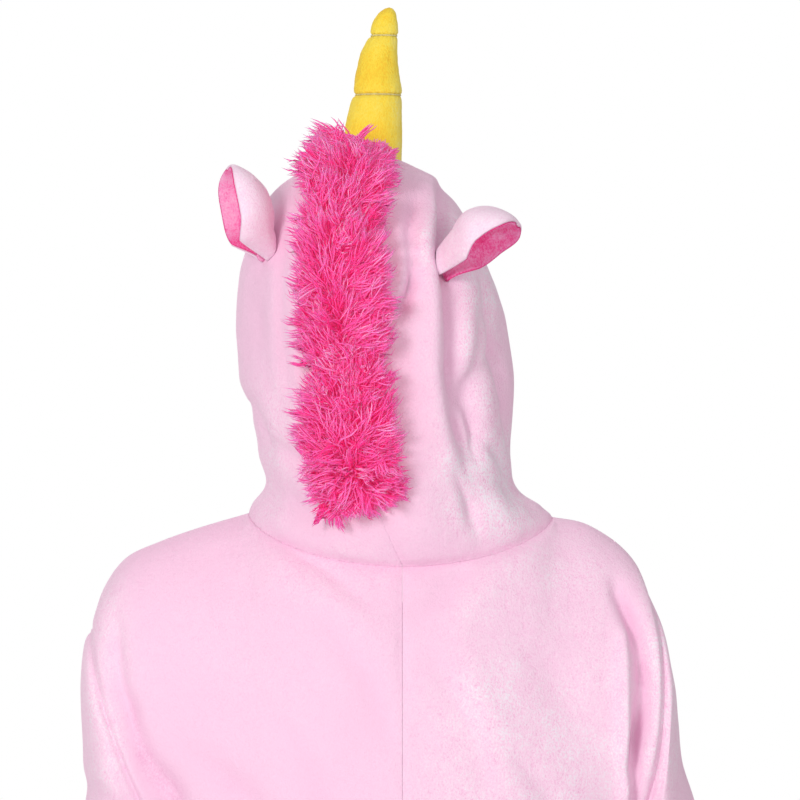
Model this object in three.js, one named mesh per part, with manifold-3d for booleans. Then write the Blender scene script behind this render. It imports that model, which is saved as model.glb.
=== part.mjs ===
// Unicorn kigurumi: a hooded one-piece plush suit, hollow, held in the shape of someone standing in it.
// Millimetres, +Z up. The wearer faces -Y, so +X is their left. The origin is the middle of the neck hole.

import * as THREE from 'three';
import { mergeVertices } from 'three/addons/utils/BufferGeometryUtils.js';
import Module from 'manifold-3d';

// Cloth and sewing
const clothThickness = 2.4;
const seamGap = 0.3;
const seatClearance = 0.9;

// Neck and body
const neckBackDepth = 78;
const neckFrontDepth = 80;
const neckBackZ = -37;
const neckFrontZ = -75;
const sideSquareness = 2.4;
const neckShare = 0.5;
const armholeRows = 10;

// Mane
const backingThickness = 2.6;
const backingHalfWidth = 21;
const backingClearance = 0.5;
const backingFirstRow = 3;
const backingLastColumn = 7;
const lockStations = 40;
const locksAcross = 5;
const lockSpacing = 8.4;
const lockRadius = 2.7;
const lockSink = 1.4;
const lockLength = 27;
const lockTurn = { spread: 0.62, lean: 0.25, fallen: 0.9, drop: 0.35 };
const crownShare = 0.12;

// Horn
const hornSides = 20;
const hornHollow = 2.5;
const threadThickness = 1.3;

// Ears
const liningThickness = 2;
const liningGap = 0.5;
const earRows = 7;
const earColumns = 8;

// Closure
const placketThickness = 2;
const placketLevels = 5;
const buttonHeights = [-112, -232, -352, -472, -592];
const buttonSeat = 0.5;
const buttonSides = 16;

const plush = { color: 0xf7d0e4, roughness: 0.9, metalness: 0 };
const hotPlush = { color: 0xf590c0, roughness: 0.9, metalness: 0 };
const yarn = { color: 0xf04a95, roughness: 0.85, metalness: 0 };
const goldPlush = { color: 0xfac83c, roughness: 0.85, metalness: 0 };
const thread = { color: 0xb8ab78, roughness: 0.7, metalness: 0 };
const plastic = { color: 0xf2b9d6, roughness: 0.4, metalness: 0 };

const { lerp, clamp, degToRad, smoothstep } = THREE.MathUtils;
const vec = (x, y, z) => new THREE.Vector3(x, y, z);

function table(columns, rows) {
  return rows.map((row) => Object.fromEntries(columns.map((name, i) => [name, row[i]])));
}

// Shoulder seams, from the neck to the top of the armhole. x is counted outwards from the middle.
const shoulderLines = {
  left: table(['x', 'z'], [[131, 6], [172, -6], [206, -18], [235, -32], [254, -58], [264, -91]]),
  right: table(['x', 'z'], [[128, 3], [151, -1], [168, -9], [185, -21], [197, -35], [203, -52]]),
};

// Sleeves, ring by ring from the armhole to the wrist hem: each ring spans an inner and an outer place.
const sleeveColumns = ['innerX', 'innerZ', 'outerX', 'outerZ', 'bulge', 'depth', 'midY'];
const sleeves = {
  left: table(sleeveColumns, [
    [184, -300, 264, -91, 12, 66, 0],
    [188, -307, 270, -103, 12, 69, 0],
    [191, -317, 272, -150, 8, 70, -1],
    [192, -331, 271, -205, 4, 69, -3],
    [193, -352, 271, -262, 0, 67, -6],
    [195, -386, 272, -330, 0, 64, -11],
    [197, -430, 273, -400, 0, 61, -17],
    [200, -500, 276, -480, 0, 58, -27],
    [204, -580, 276, -570, 0, 54, -39],
    [207, -652, 272, -652, 0, 50, -51],
  ]),
  right: table(sleeveColumns, [
    [176, -300, 203, -52, 28, 66, 0],
    [181, -308, 212, -66, 27, 69, 0],
    [185, -318, 223, -108, 18, 71, -1],
    [187, -332, 236, -168, 8, 70, -3],
    [190, -353, 249, -238, 0, 68, -6],
    [194, -386, 261, -310, 0, 65, -11],
    [198, -430, 268, -385, 0, 62, -17],
    [204, -500, 277, -470, 0, 58, -27],
    [210, -580, 283, -568, 0, 54, -39],
    [215, -652, 284, -652, 0, 50, -51],
  ]),
};

// Body below the armholes. seamZ is the height at the centre seam or inseam, sideZ at the side seam.
// legShare grows from 0, half a trunk, to 1, a whole leg whose inner edge is at inner.
const levels = table(['seamZ', 'sideZ', 'outer', 'back', 'front', 'inner', 'legShare'], [
  [-300, -300, 180, 122, 116, 0, 0],
  [-380, -380, 184, 117, 122, 0, 0],
  [-470, -470, 186, 113, 124, 0, 0],
  [-560, -560, 190, 120, 121, 0, 0],
  [-650, -640, 195, 130, 118, 0, 0],
  [-745, -710, 198, 134, 114, 0, 0.13],
  [-802, -765, 199, 130, 110, 0, 0.42],
  [-826, -805, 199, 120, 108, 3, 0.75],
  [-832, -842, 198, 108, 106, 6, 1],
  [-884, -892, 195, 102, 102, 7, 1],
  [-980, -980, 188, 95, 96, 10, 1],
  [-1090, -1090, 180, 86, 88, 16, 1],
  [-1200, -1200, 172, 78, 80, 24, 1],
  [-1310, -1310, 165, 70, 71, 33, 1],
]);

// Hood, row by row from the neck seam to the seam line over the crown. back and front are depths from
// the middle, opening is the angle from the nape to the face edge, and turn is the head's.
const hoodRows = table(
  ['sideZ', 'backZ', 'frontZ', 'midX', 'halfWidth', 'back', 'front', 'opening', 'turn'], [
    [4, -37, -75, 1.5, 129.5, 78, 80, 180, 0],
    [15, -17, -52, 8, 124, 93, 90, 172, 2],
    [33, 8, -15, 11, 107, 103, 102, 150, 5],
    [64, 48, 36, 16, 107.5, 113, 112, 134, 9],
    [110, 102, 96, 20, 114, 122, 121, 125, 12],
    [152, 150, 150, 24, 115, 128, 125, 122, 11],
    [196, 195, 204, 29, 109, 129, 125, 123, 9.5],
    [233, 230, 241, 33, 98, 121, 119, 131, 8],
    [263, 255, 262, 35, 85, 108, 110, 153, 8],
    [287, 276, 275, 34, 67, 93, 100, 180, 8],
    [304, 291, 289, 32, 39, 77, 87, 180, 8],
    [315, 301, 300, 30, 0, 60, 72, 180, 8],
  ]);
const hoodIntervals = 15;

// Where the columns of a panel stand between the centre seam (0) and the neck point (1).
const backColumns = [0, 0.12, 0.27, 0.42, 0.57, 0.72, 0.86, 1];
const frontColumns = [0, 0.14, 0.42, 0.7, 1];
const shoulderColumns = 6;

// The largest folds seen from behind: a line from one place to another, raised or, where height is
// negative, sunk.
const foldColumns = ['x0', 'z0', 'x1', 'z1', 'width', 'height'];
const backFolds = {
  left: table(foldColumns, [
    [238, -95, 229, -160, 13, -6],
    [229, -160, 198, -225, 14, -7],
    [70, -25, 30, -60, 14, -3],
    [150, -430, 60, -500, 24, -6],
    [160, -790, 70, -850, 26, -7],
    [120, -1010, 70, -1060, 24, -6],
  ]),
  right: table(foldColumns, [
    [-186, -62, -203, -128, 11, -9],
    [-203, -128, -192, -205, 12, -11],
    [-30, -190, -75, -260, 26, -3],
    [-150, -450, -50, -520, 24, -6],
    [-165, -775, -60, -840, 26, -7],
    [-125, -1030, -70, -1075, 24, -6],
  ]),
};
const frontFolds = {
  left: table(foldColumns, [
    [225, -110, 205, -220, 14, -7],
    [150, -400, 60, -470, 24, -6],
    [150, -760, 60, -820, 26, -6],
  ]),
  right: table(foldColumns, [
    [-190, -90, -185, -210, 14, -8],
    [-150, -420, -55, -480, 24, -6],
    [-155, -770, -60, -815, 26, -6],
  ]),
};
const hoodFolds = {
  left: table(foldColumns, [
    [127, 99, 92, 50, 13, -7],
    [100, 20, 70, 45, 14, 4],
  ]),
  right: table(foldColumns, [
    [-28, 280, -20, 230, 15, 5],
    [-20, 230, -26, 120, 15, 6],
    [-26, 120, -54, 26, 15, 6],
    [-37, 259, -41, 200, 13, -8],
    [-41, 200, -60, 90, 14, -8],
    [-72, 185, -88, 70, 10, -6],
  ]),
};

// Horn, ring by ring from the base up. It narrows where the thread is wound round it.
const hornRings = table(['z', 'x', 'y', 'radius'], [
  [312, 26, -68, 25.5],
  [330, 25.4, -71, 25.2],
  [347, 24, -74, 23.6],
  [360.5, 22.3, -77, 21.3],
  [365.5, 21, -78, 19.2],
  [370.5, 21.4, -79, 20.8],
  [384, 21.6, -82, 18.9],
  [401, 20.4, -85, 16.2],
  [412.5, 17.6, -87, 13],
  [417.5, 15.9, -88, 10.8],
  [422, 15.6, -89, 12],
  [430, 14.8, -91, 10.6],
  [437, 13.2, -92, 7.8],
  [441.5, 11.8, -93, 3.6],
]);
const threadRings = table(['name', 'ring', 'inner'], [
  ['horn_thread_lower', 4, 20.1],
  ['horn_thread_upper', 9, 11.7],
]);

// Ears: where the fold of the ear starts and ends, which way its cup opens, how far the fold bows away
// from that, and the cup's radius.
const ears = {
  left: { base: vec(115, 88, 227), tip: vec(145, 88, 297), open: vec(0.9, 0.28, -0.34), bow: 17, cup: 32 },
  right: {
    base: vec(-41, 111, 224), tip: vec(-97, 120, 248), open: vec(-0.38, 0.3, -0.88), bow: 23, cup: 33,
  },
};
const earBaseRadius = 13;
const earBaseHalfWidth = 31;
const earHalfWidth = 52;

// Every column of a table as a smooth curve through its rows, read at a place counted in rows.
function readRow(rows, place) {
  const last = rows.length - 1;
  const i = Math.min(Math.floor(place), last - 1);
  const f = place - i;
  const out = {};
  for (const name of Object.keys(rows[i])) {
    const b = rows[i][name];
    const c = rows[i + 1][name];
    const a = i > 0 ? rows[i - 1][name] : 2 * b - c;
    const d = i + 2 <= last ? rows[i + 2][name] : 2 * c - b;
    out[name] = b + 0.5 * f * (c - a + f * (2 * a - 5 * b + 4 * c - d + f * (3 * (b - c) + d - a)));
  }
  return out;
}

const sides = { left: 1, right: -1 };

function sleevePoint(side, place, angle) {
  const ring = readRow(sleeves[side], place);
  const c = Math.cos(angle);
  const s = Math.sin(angle);
  return vec(
    sides[side] * (lerp(ring.innerX, ring.outerX, (1 + c) / 2) + ring.bulge * Math.abs(s) ** 1.6),
    ring.midY + ring.depth * s,
    lerp(ring.innerZ, ring.outerZ, (1 + c) / 2));
}

function armholeNormal(side, angle) {
  const hole = sleeves[side][0];
  return vec(0, Math.sin(angle) / hole.depth, Math.cos(angle) * 2 / (hole.outerZ - hole.innerZ)).normalize();
}

// The neck seam, from the centre (0) to the neck point (1), on the back (+1) or the front (-1).
function neckPoint(side, face, t) {
  const end = shoulderLines[side][0];
  const angle = t * Math.PI / 2;
  const depth = face > 0 ? neckBackDepth : neckFrontDepth;
  const centreZ = face > 0 ? neckBackZ : neckFrontZ;
  return vec(
    sides[side] * end.x * Math.sin(angle),
    face * depth * Math.cos(angle),
    lerp(end.z, centreZ, Math.cos(angle) ** 1.3));
}

function neckNormal(side, face, t) {
  const angle = t * Math.PI / 2;
  const up = lerp(0.35, 0.81, t);
  const out = Math.sqrt(1 - up * up);
  return vec(sides[side] * out * Math.sin(angle), face * out * Math.cos(angle), up);
}

// Half a trunk or a whole leg at one level. u runs from the centre seam or inseam to the side seam.
function levelPoint(side, face, level, u) {
  const depth = face > 0 ? level.back : level.front;
  const across = Math.sin(u * Math.PI / 2);
  const trunkX = level.outer * across;
  const trunkY = depth * (1 - across ** sideSquareness) ** (1 / sideSquareness);
  const legX = lerp(level.inner, level.outer, (1 - Math.cos(u * Math.PI)) / 2);
  const legY = depth * Math.sin(u * Math.PI) ** 0.9;
  const share = clamp(level.legShare, 0, 1);
  return vec(
    sides[side] * lerp(trunkX, legX, share),
    face * lerp(trunkY, legY, share),
    lerp(level.seamZ, level.sideZ, u));
}

// Above the armhole's foot the cloth leaves the neck or shoulder seam and rolls down over the body.
function upperPoint(side, face, u, v) {
  const line = shoulderLines[side];
  const top = u <= neckShare
    ? neckPoint(side, face, u / neckShare)
    : (({ x, z }) => vec(sides[side] * x, 0, z))(
      readRow(line, (u - neckShare) / (1 - neckShare) * (line.length - 1)));
  const bottomLevel = { ...levels[0], outer: sleeves[side][0].innerX };
  const roll = v * Math.PI / 2;
  const point = (at, from, to) => vec(
    lerp(from.x, to.x, v ** 1.3),
    lerp(from.y, to.y, Math.sin(roll) ** 0.8),
    lerp(from.z, to.z, lerp(v, 1 - Math.cos(roll), 0.4 + 0.5 * at)));
  const rolled = point(u, top, levelPoint(side, face, bottomLevel, u));
  const edge = point(1, vec(sides[side] * line.at(-1).x, 0, line.at(-1).z),
    vec(sides[side] * bottomLevel.outer, 0, bottomLevel.sideZ));
  const armhole = sleevePoint(side, 0, face * v * Math.PI);
  const pull = clamp((u - 0.3) / 0.7, 0, 1) ** 2;
  return rolled.add(armhole.sub(edge).multiplyScalar(pull));
}

function foldHeight(folds, point) {
  let height = 0;
  for (const fold of folds) {
    const dx = fold.x1 - fold.x0;
    const dz = fold.z1 - fold.z0;
    const along = clamp(((point.x - fold.x0) * dx + (point.z - fold.z0) * dz) / (dx * dx + dz * dz), 0, 1);
    const away = Math.hypot(point.x - fold.x0 - along * dx, point.z - fold.z0 - along * dz);
    height += fold.height * Math.exp(-((away / fold.width) ** 2));
  }
  return height;
}

// A patch of cloth: points in rows and columns, and the four corners of each cell, faces outward.
function makePatch(rowCount, columnCount, pointAt, { flip = false, closed = false } = {}) {
  const points = [];
  for (let j = 0; j < rowCount; j++) {
    for (let i = 0; i < columnCount; i++) points.push(pointAt(j, i));
  }
  const cells = [];
  for (let j = 0; j + 1 < rowCount; j++) {
    for (let i = 0; i + (closed ? 0 : 1) < columnCount; i++) {
      const next = (i + 1) % columnCount;
      const cell = [j * columnCount + i, (j + 1) * columnCount + i,
        (j + 1) * columnCount + next, j * columnCount + next];
      cells.push(flip ? [cell[0], cell[3], cell[2], cell[1]] : cell);
    }
  }
  const patch = { points, cells, rowCount, columnCount };
  patch.normals = averageNormals(patch);
  return patch;
}

function averageNormals({ points, cells }) {
  const normals = points.map(() => vec(0, 0, 0));
  for (const [a, b, c, d] of cells) {
    const normal = points[c].clone().sub(points[a]).cross(points[d].clone().sub(points[b]));
    for (const k of [a, b, c, d]) normals[k].add(normal);
  }
  return normals.map((normal) => normal.normalize());
}

// Raises the folds, fading them out towards the patch's edges, and works the normals out again.
function addFolds(patch, folds, fadeCells) {
  const { rowCount, columnCount } = patch;
  patch.points.forEach((point, k) => {
    const j = Math.floor(k / columnCount);
    const i = k % columnCount;
    const edge = Math.min(i, columnCount - 1 - i, j, rowCount - 1 - j);
    const fade = smoothstep(edge, 0, fadeCells);
    point.addScaledVector(patch.normals[k], fade * foldHeight(folds, point));
  });
  patch.normals = averageNormals(patch);
}

// A closed wall over the patch's cells, from one distance off its points to another.
function thicken({ points, normals, cells }, below, above) {
  const used = [...new Set(cells.flat())];
  const place = new Map(used.map((k, n) => [k, n]));
  const positions = [];
  for (const offset of [above, below]) {
    for (const k of used) positions.push(...points[k].clone().addScaledVector(normals[k], offset).toArray());
  }
  const index = [];
  const edges = new Map();
  const count = used.length;
  for (const cell of cells) {
    const [a, b, c, d] = cell.map((k) => place.get(k));
    index.push(a, b, c, a, c, d, a + count, c + count, b + count, a + count, d + count, c + count);
    for (const [p, q] of [[a, b], [b, c], [c, d], [d, a]]) {
      if (!edges.delete(`${q}_${p}`)) edges.set(`${p}_${q}`, [p, q]);
    }
  }
  // Both walls at a seam split their edges alike: from the outside of the higher end to the inside.
  const height = (n) => points[used[n]].z + Math.abs(points[used[n]].x) / 1000;
  for (const [p, q] of edges.values()) {
    if (height(q) > height(p)) index.push(q, p, p + count, q, p + count, q + count);
    else index.push(p, p + count, q + count, p, q + count, q);
  }
  return makeGeometry(positions, index);
}

function makeGeometry(positions, index) {
  const geometry = new THREE.BufferGeometry();
  geometry.setAttribute('position', new THREE.Float32BufferAttribute(positions, 3));
  geometry.setIndex(index);
  return geometry;
}

const group = new THREE.Group();
const panels = {};

function addMesh(name, geometry, material) {
  const mesh = new THREE.Mesh(geometry, new THREE.MeshStandardMaterial(material));
  mesh.name = name;
  group.add(mesh);
  return mesh;
}

// Body panels

function makeBodyPanel(side, face) {
  const sign = sides[side];
  const neckColumns = face > 0 ? backColumns : frontColumns;
  const places = neckColumns.map((t) => t * neckShare);
  for (let i = 1; i <= shoulderColumns; i++) places.push(lerp(neckShare, 1, i / shoulderColumns));
  const rowCount = armholeRows + levels.length;
  const lastColumn = places.length - 1;
  const crotchRow = armholeRows + levels.findIndex((level) => level.legShare === 1);
  const underarm = sleeves[side][0].innerX;

  const patch = makePatch(rowCount, places.length, (j, i) => {
    if (j < armholeRows) return upperPoint(side, face, places[i], j / armholeRows);
    const level = { ...levels[j - armholeRows] };
    if (j === armholeRows) level.outer = underarm;
    return levelPoint(side, face, level, places[i]);
  }, { flip: sign * face > 0 });
  addFolds(patch, (face > 0 ? backFolds : frontFolds)[side], 1.3);

  // Edges end half a gap from the seam, and their walls stand in the seam's own plane.
  patch.points.forEach((point, k) => {
    const j = Math.floor(k / patch.columnCount);
    const i = k % patch.columnCount;
    const normal = patch.normals[k];
    const onNeck = j === 0 && i < neckColumns.length;
    const onShoulder = j === 0 && i >= neckColumns.length - 1;
    const onArmhole = i === lastColumn && j <= armholeRows;
    const onSide = i === lastColumn && j >= armholeRows;
    const onCentre = i === 0 && j <= crotchRow;
    const onInseam = i === 0 && j >= crotchRow;
    if (onNeck) normal.copy(neckNormal(side, face, neckColumns[i]));
    if (onArmhole) normal.copy(armholeNormal(side, face * j / armholeRows * Math.PI));
    if (onInseam && j === crotchRow) normal.set(0, 0, -1);
    if (onCentre) normal.setX(0).normalize();
    if (onShoulder || onSide || onInseam) normal.setY(0).normalize();
    if (onCentre) point.setX(sign * seamGap / 2);
    if (onInseam) point.setX(sign * Math.max(seamGap / 2, Math.abs(point.x)));
    if (onShoulder || onSide || onInseam) point.setY(face * seamGap / 2);
  });
  return patch;
}

for (const side of Object.keys(sides)) {
  for (const [name, face] of [['back', 1], ['front', -1]]) {
    panels[`${name}_${side}`] = makeBodyPanel(side, face);
    addMesh(`${name}_${side}`, thicken(panels[`${name}_${side}`], -clothThickness, 0), plush);
  }
}

// Sleeves

function makeSleeve(side) {
  const sign = sides[side];
  const around = 2 * armholeRows;
  const ringCount = 13;
  const patch = makePatch(ringCount, around, (j, i) => (
    sleevePoint(side, j / (ringCount - 1) * (sleeves[side].length - 1), i / around * 2 * Math.PI)
  ), { flip: sign < 0, closed: true });
  for (let i = 0; i < around; i++) {
    patch.normals[i].copy(armholeNormal(side, i / around * 2 * Math.PI));
    patch.points[i].x += sign * seamGap;
  }
  return patch;
}

for (const side of Object.keys(sides)) {
  panels[`sleeve_${side}`] = makeSleeve(side);
  addMesh(`sleeve_${side}`, thicken(panels[`sleeve_${side}`], -clothThickness, 0), plush);
}

// Hood

// The angle from the nape, in degrees, at which a hood column stands.
const hoodColumnCount = backColumns.length + frontColumns.length - 1;
function hoodAngle(column, opening) {
  if (column < backColumns.length) return 90 * backColumns[column];
  return lerp(opening, 90, frontColumns[hoodColumnCount - 1 - column]);
}

function hoodPoint(side, place, column) {
  const row = readRow(hoodRows, place);
  const angle = degToRad(hoodAngle(column, Math.min(row.opening, 180)));
  const turn = degToRad(row.turn);
  const c = Math.cos(angle);
  const x = sides[side] * Math.max(0, row.halfWidth) * Math.sin(angle);
  const y = c * (c > 0 ? row.back : row.front);
  const rise = Math.abs(c) ** 1.3;
  return vec(
    row.midX + x * Math.cos(turn) + y * Math.sin(turn),
    y * Math.cos(turn) - x * Math.sin(turn),
    lerp(row.sideZ, c > 0 ? row.backZ : row.frontZ, rise));
}

function makeHoodPanel(side) {
  const sign = sides[side];
  const lastRow = hoodIntervals;
  const lastColumn = hoodColumnCount - 1;
  const placeOf = (j) => j / hoodIntervals * (hoodRows.length - 1);
  const patch = makePatch(hoodIntervals + 1, hoodColumnCount, (j, i) => {
    if (j > 0) return hoodPoint(side, placeOf(j), i);
    return i < backColumns.length
      ? neckPoint(side, 1, backColumns[i])
      : neckPoint(side, -1, frontColumns[lastColumn - i]);
  }, { flip: sign < 0 });
  addFolds(patch, hoodFolds[side], 1.3);
  patch.points.forEach((point, k) => {
    const j = Math.floor(k / patch.columnCount);
    const i = k % patch.columnCount;
    const normal = patch.normals[k];
    if (j === 0) {
      const face = i < backColumns.length ? 1 : -1;
      const t = face > 0 ? backColumns[i] : frontColumns[lastColumn - i];
      normal.copy(neckNormal(side, face, t));
      const slope = normal.z / Math.hypot(normal.x, normal.y);
      const upwards = vec(-normal.x * slope, -normal.y * slope, Math.hypot(normal.x, normal.y));
      point.addScaledVector(upwards, seamGap);
    }
    const closedFront = i === lastColumn && (j === 0 || readRow(hoodRows, placeOf(j)).opening > 179.9);
    if (i === 0 || j === lastRow || closedFront) {
      normal.setX(0).normalize();
      point.x += sign * seamGap / 2;
    }
  });
  return patch;
}

for (const side of Object.keys(sides)) {
  panels[`hood_${side}`] = makeHoodPanel(side);
  addMesh(`hood_${side}`, thicken(panels[`hood_${side}`], -clothThickness, 0), plush);
}

// The place on the hood that is met from a point, going one way, and a clearance back from there. A line
// that falls into the gap of the seam is taken from beside it.
const hoodMeshes = group.children.filter((mesh) => mesh.name.startsWith('hood'));
hoodMeshes.forEach((mesh) => mesh.updateMatrixWorld());
function seatOnHood(from, way) {
  const ray = new THREE.Raycaster(from, way.clone().normalize());
  let [hit] = ray.intersectObjects(hoodMeshes);
  if (!hit) {
    ray.ray.origin.x += 2 * seamGap;
    [hit] = ray.intersectObjects(hoodMeshes);
  }
  if (!hit) throw new Error(`nothing to sit on below ${from.toArray().map(Math.round)}`);
  return hit.point.addScaledVector(ray.ray.direction, -seatClearance);
}

// Mane: a strip along the hood's seam, over the crown, with locks of yarn standing on it.

// The seam's corners from the neck to the horn.
function seamLine() {
  const { points, columnCount } = panels.hood_left;
  const line = [];
  for (let j = backingFirstRow; j <= hoodIntervals; j++) line.push(points[j * columnCount]);
  for (let i = 1; i <= backingLastColumn; i++) line.push(points[hoodIntervals * columnCount + i]);
  return line;
}

const seam = seamLine();
const maneCurve = new THREE.CatmullRomCurve3(seam);

// A place on the hood beside the seam, with the directions along, across and away from the hood.
function beside(centre, along, across) {
  const sideways = vec(1, 0, 0).addScaledVector(along, -along.x).normalize();
  const away = along.clone().cross(sideways).normalize();
  const from = centre.clone().addScaledVector(sideways, across).addScaledVector(away, 60);
  return { seat: seatOnHood(from, away.clone().negate()), along, sideways, away };
}

function makeBacking() {
  const offsets = [-1, -0.5, 0, 0.5, 1].map((share) => share * backingHalfWidth);
  return makePatch(seam.length, offsets.length, (j, i) => {
    const along = seam[Math.min(j + 1, seam.length - 1)].clone().sub(seam[Math.max(j - 1, 0)]).normalize();
    const { seat, away } = beside(seam[j], along, offsets[i]);
    return seat.addScaledVector(away, backingClearance);
  });
}

// Steady uneven numbers from -1 to 1, the same ones each time.
function uneven(a, b) {
  const value = Math.sin(a * 12.9898 + b * 78.233) * 43758.5453;
  return 2 * (value - Math.floor(value)) - 1;
}

// One lock of yarn: three sides, its root flat in the strip, bending once to a point.
function makeLock({ seat, along, sideways, away }, way, bend, length) {
  const root = seat.clone().addScaledVector(away, backingClearance + backingThickness - lockSink);
  const across = sideways.clone().addScaledVector(way, -sideways.dot(way)).normalize();
  const ring = (centre, radius, first, second) => [0, 1, 2].map((n) => {
    const angle = n * 2 * Math.PI / 3;
    return centre.clone()
      .addScaledVector(first, radius * Math.cos(angle))
      .addScaledVector(second, radius * Math.sin(angle));
  });
  const middle = root.clone().addScaledVector(way, 0.55 * length);
  const tip = middle.clone().addScaledVector(way.clone().add(bend).normalize(), 0.45 * length);
  const points = [
    ...ring(root, lockRadius, sideways, along.clone().negate()),
    ...ring(middle, 0.86 * lockRadius, across, way.clone().cross(across)),
    tip,
  ];
  const index = [0, 2, 1];
  for (let n = 0; n < 3; n++) {
    const next = (n + 1) % 3;
    index.push(n, next, n + 3, next, next + 3, n + 3, n + 3, next + 3, 6);
  }
  return makeGeometry(points.flatMap((point) => point.toArray()), index);
}

const wasm = await Module();
wasm.setup();

function toManifold(geometry) {
  const merged = mergeVertices(geometry, 1e-4);
  return new wasm.Manifold(new wasm.Mesh({
    numProp: 3,
    vertProperties: new Float32Array(merged.attributes.position.array),
    triVerts: new Uint32Array(merged.index.array),
  }));
}

function makeMane() {
  let mane = toManifold(thicken(makeBacking(), 0, backingThickness));
  for (let k = 0; k < lockStations; k++) {
    for (let n = 0; n < locksAcross; n++) {
      const slot = n - (locksAcross - 1) / 2 + (k % 2 ? 0.2 : -0.2);
      const share = (k + 0.5) / lockStations;
      const place = beside(maneCurve.getPointAt(share), maneCurve.getTangentAt(share), slot * lockSpacing);
      const fallen = 1 - smoothstep(share, 0, crownShare);
      const way = place.away.clone()
        .addScaledVector(place.sideways, lockTurn.spread * slot + 0.1 * uneven(k, n))
        .addScaledVector(place.along, -lockTurn.lean - lockTurn.fallen * fallen + 0.1 * uneven(n, k + 9))
        .normalize();
      const bend = vec(0.25 * uneven(k, n + 5), 0, -lockTurn.drop + 0.2 * uneven(k + 3, n));
      const length = lockLength * (1 + 0.14 * uneven(k + 7, n + 1));
      mane = mane.add(toManifold(makeLock(place, way, bend, length)));
    }
  }
  const { numProp, vertProperties, triVerts } = mane.getMesh();
  const positions = [];
  for (let k = 0; k < vertProperties.length; k += numProp) positions.push(...vertProperties.slice(k, k + 3));
  return makeGeometry(positions, [...triVerts]);
}

addMesh('mane', makeMane(), yarn);

// Horn

function hornPoint(ring, angle, radius = ring.radius) {
  return vec(ring.x + radius * Math.cos(angle), ring.y + radius * Math.sin(angle), ring.z);
}

function makeHorn() {
  const points = [];
  const down = vec(0, 0, -1);
  const [base] = hornRings;
  const angles = Array.from({ length: hornSides }, (_, n) => n / hornSides * 2 * Math.PI);
  const seated = (point, lift) => seatOnHood(point.setZ(base.z + 40), down).add(vec(0, 0, lift));
  points.push(seated(vec(base.x, base.y, 0), hornHollow));
  for (const [share, lift] of [[0.5, hornHollow], [1, 0]]) {
    for (const angle of angles) points.push(seated(hornPoint(base, angle, share * base.radius), lift));
  }
  for (const ring of hornRings) {
    for (const angle of angles) points.push(hornPoint(ring, angle));
  }
  const top = hornRings.at(-1);
  points.push(vec(top.x - 0.4, top.y - 0.2, top.z + 1));
  const index = [];
  const last = points.length - 1;
  const ringCount = (points.length - 2) / hornSides;
  for (let n = 0; n < hornSides; n++) {
    const next = (n + 1) % hornSides;
    index.push(0, 1 + next, 1 + n);
    for (let ring = 0; ring + 1 < ringCount; ring++) {
      const a = 1 + ring * hornSides;
      const b = a + hornSides;
      index.push(a + n, a + next, b + next, a + n, b + next, b + n);
    }
    const a = 1 + (ringCount - 1) * hornSides;
    index.push(a + n, a + next, last);
  }
  return makeGeometry(points.flatMap((point) => point.toArray()), index);
}

addMesh('horn', makeHorn(), goldPlush);

function makeThreadRing(ring, inner) {
  const outer = inner + threadThickness;
  const height = threadThickness / 2;
  const profile = [
    [inner, -height], [outer, -height / 2], [outer, height / 2], [inner, height], [inner, -height],
  ];
  const geometry = new THREE.LatheGeometry(profile.map(([x, y]) => new THREE.Vector2(x, y)), hornSides);
  geometry.deleteAttribute('uv');
  geometry.deleteAttribute('normal');
  geometry.rotateX(Math.PI / 2);
  return geometry.translate(ring.x, ring.y, ring.z);
}

for (const { name, ring, inner } of threadRings) {
  addMesh(name, makeThreadRing(hornRings[ring], inner), thread);
}

// Ears: a leaf of plush folded into a cup, with a lining inside it.

function makeEar(side) {
  const { base, tip, open, bow, cup } = ears[side];
  const axis = tip.clone().sub(base).normalize();
  const towards = open.clone().addScaledVector(axis, -open.dot(axis)).normalize();
  const across = axis.clone().cross(towards);
  const foldAt = (share) => base.clone().lerp(tip, share)
    .addScaledVector(towards, -bow * Math.sin(Math.PI * share) ** 0.8);
  const patch = makePatch(earRows + 1, earColumns + 1, (j, i) => {
    const share = Math.sin(j / earRows * Math.PI / 2 * 0.94) ** 1.1;
    const radius = lerp(earBaseRadius, cup, smoothstep(share, 0, 0.45));
    const halfWidth = lerp(earBaseHalfWidth, earHalfWidth, Math.sin(Math.min(1, share / 0.5) * Math.PI / 2))
      * Math.sqrt(1 - share ** 3);
    const angle = (2 * i / earColumns - 1) * halfWidth / radius;
    const point = foldAt(share)
      .addScaledVector(towards, radius * (1 - Math.cos(angle)))
      .addScaledVector(across, radius * Math.sin(angle));
    if (j > 0) return point;
    const middle = vec(33, 0, point.z - 8);
    return seatOnHood(point.add(point.clone().sub(middle).setLength(30)), middle.sub(point));
  });
  const centre = foldAt(0.5).addScaledVector(towards, cup);
  const probe = patch.points.length >> 1;
  if (patch.normals[probe].dot(patch.points[probe].clone().sub(centre)) < 0) {
    patch.cells = patch.cells.map(([a, b, c, d]) => [a, d, c, b]);
    patch.normals = averageNormals(patch);
  }
  return patch;
}

for (const side of Object.keys(sides)) {
  const ear = makeEar(side);
  const liningTop = -clothThickness - liningGap;
  addMesh(`ear_${side}`, thicken(ear, -clothThickness, 0), plush);
  const inside = { ...ear, cells: ear.cells.slice(earColumns) };
  addMesh(`ear_lining_${side}`, thicken(inside, liningTop - liningThickness, liningTop), hotPlush);
}

// Closure: a placket laid over both fronts' centre edges, and buttons on it.

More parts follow.
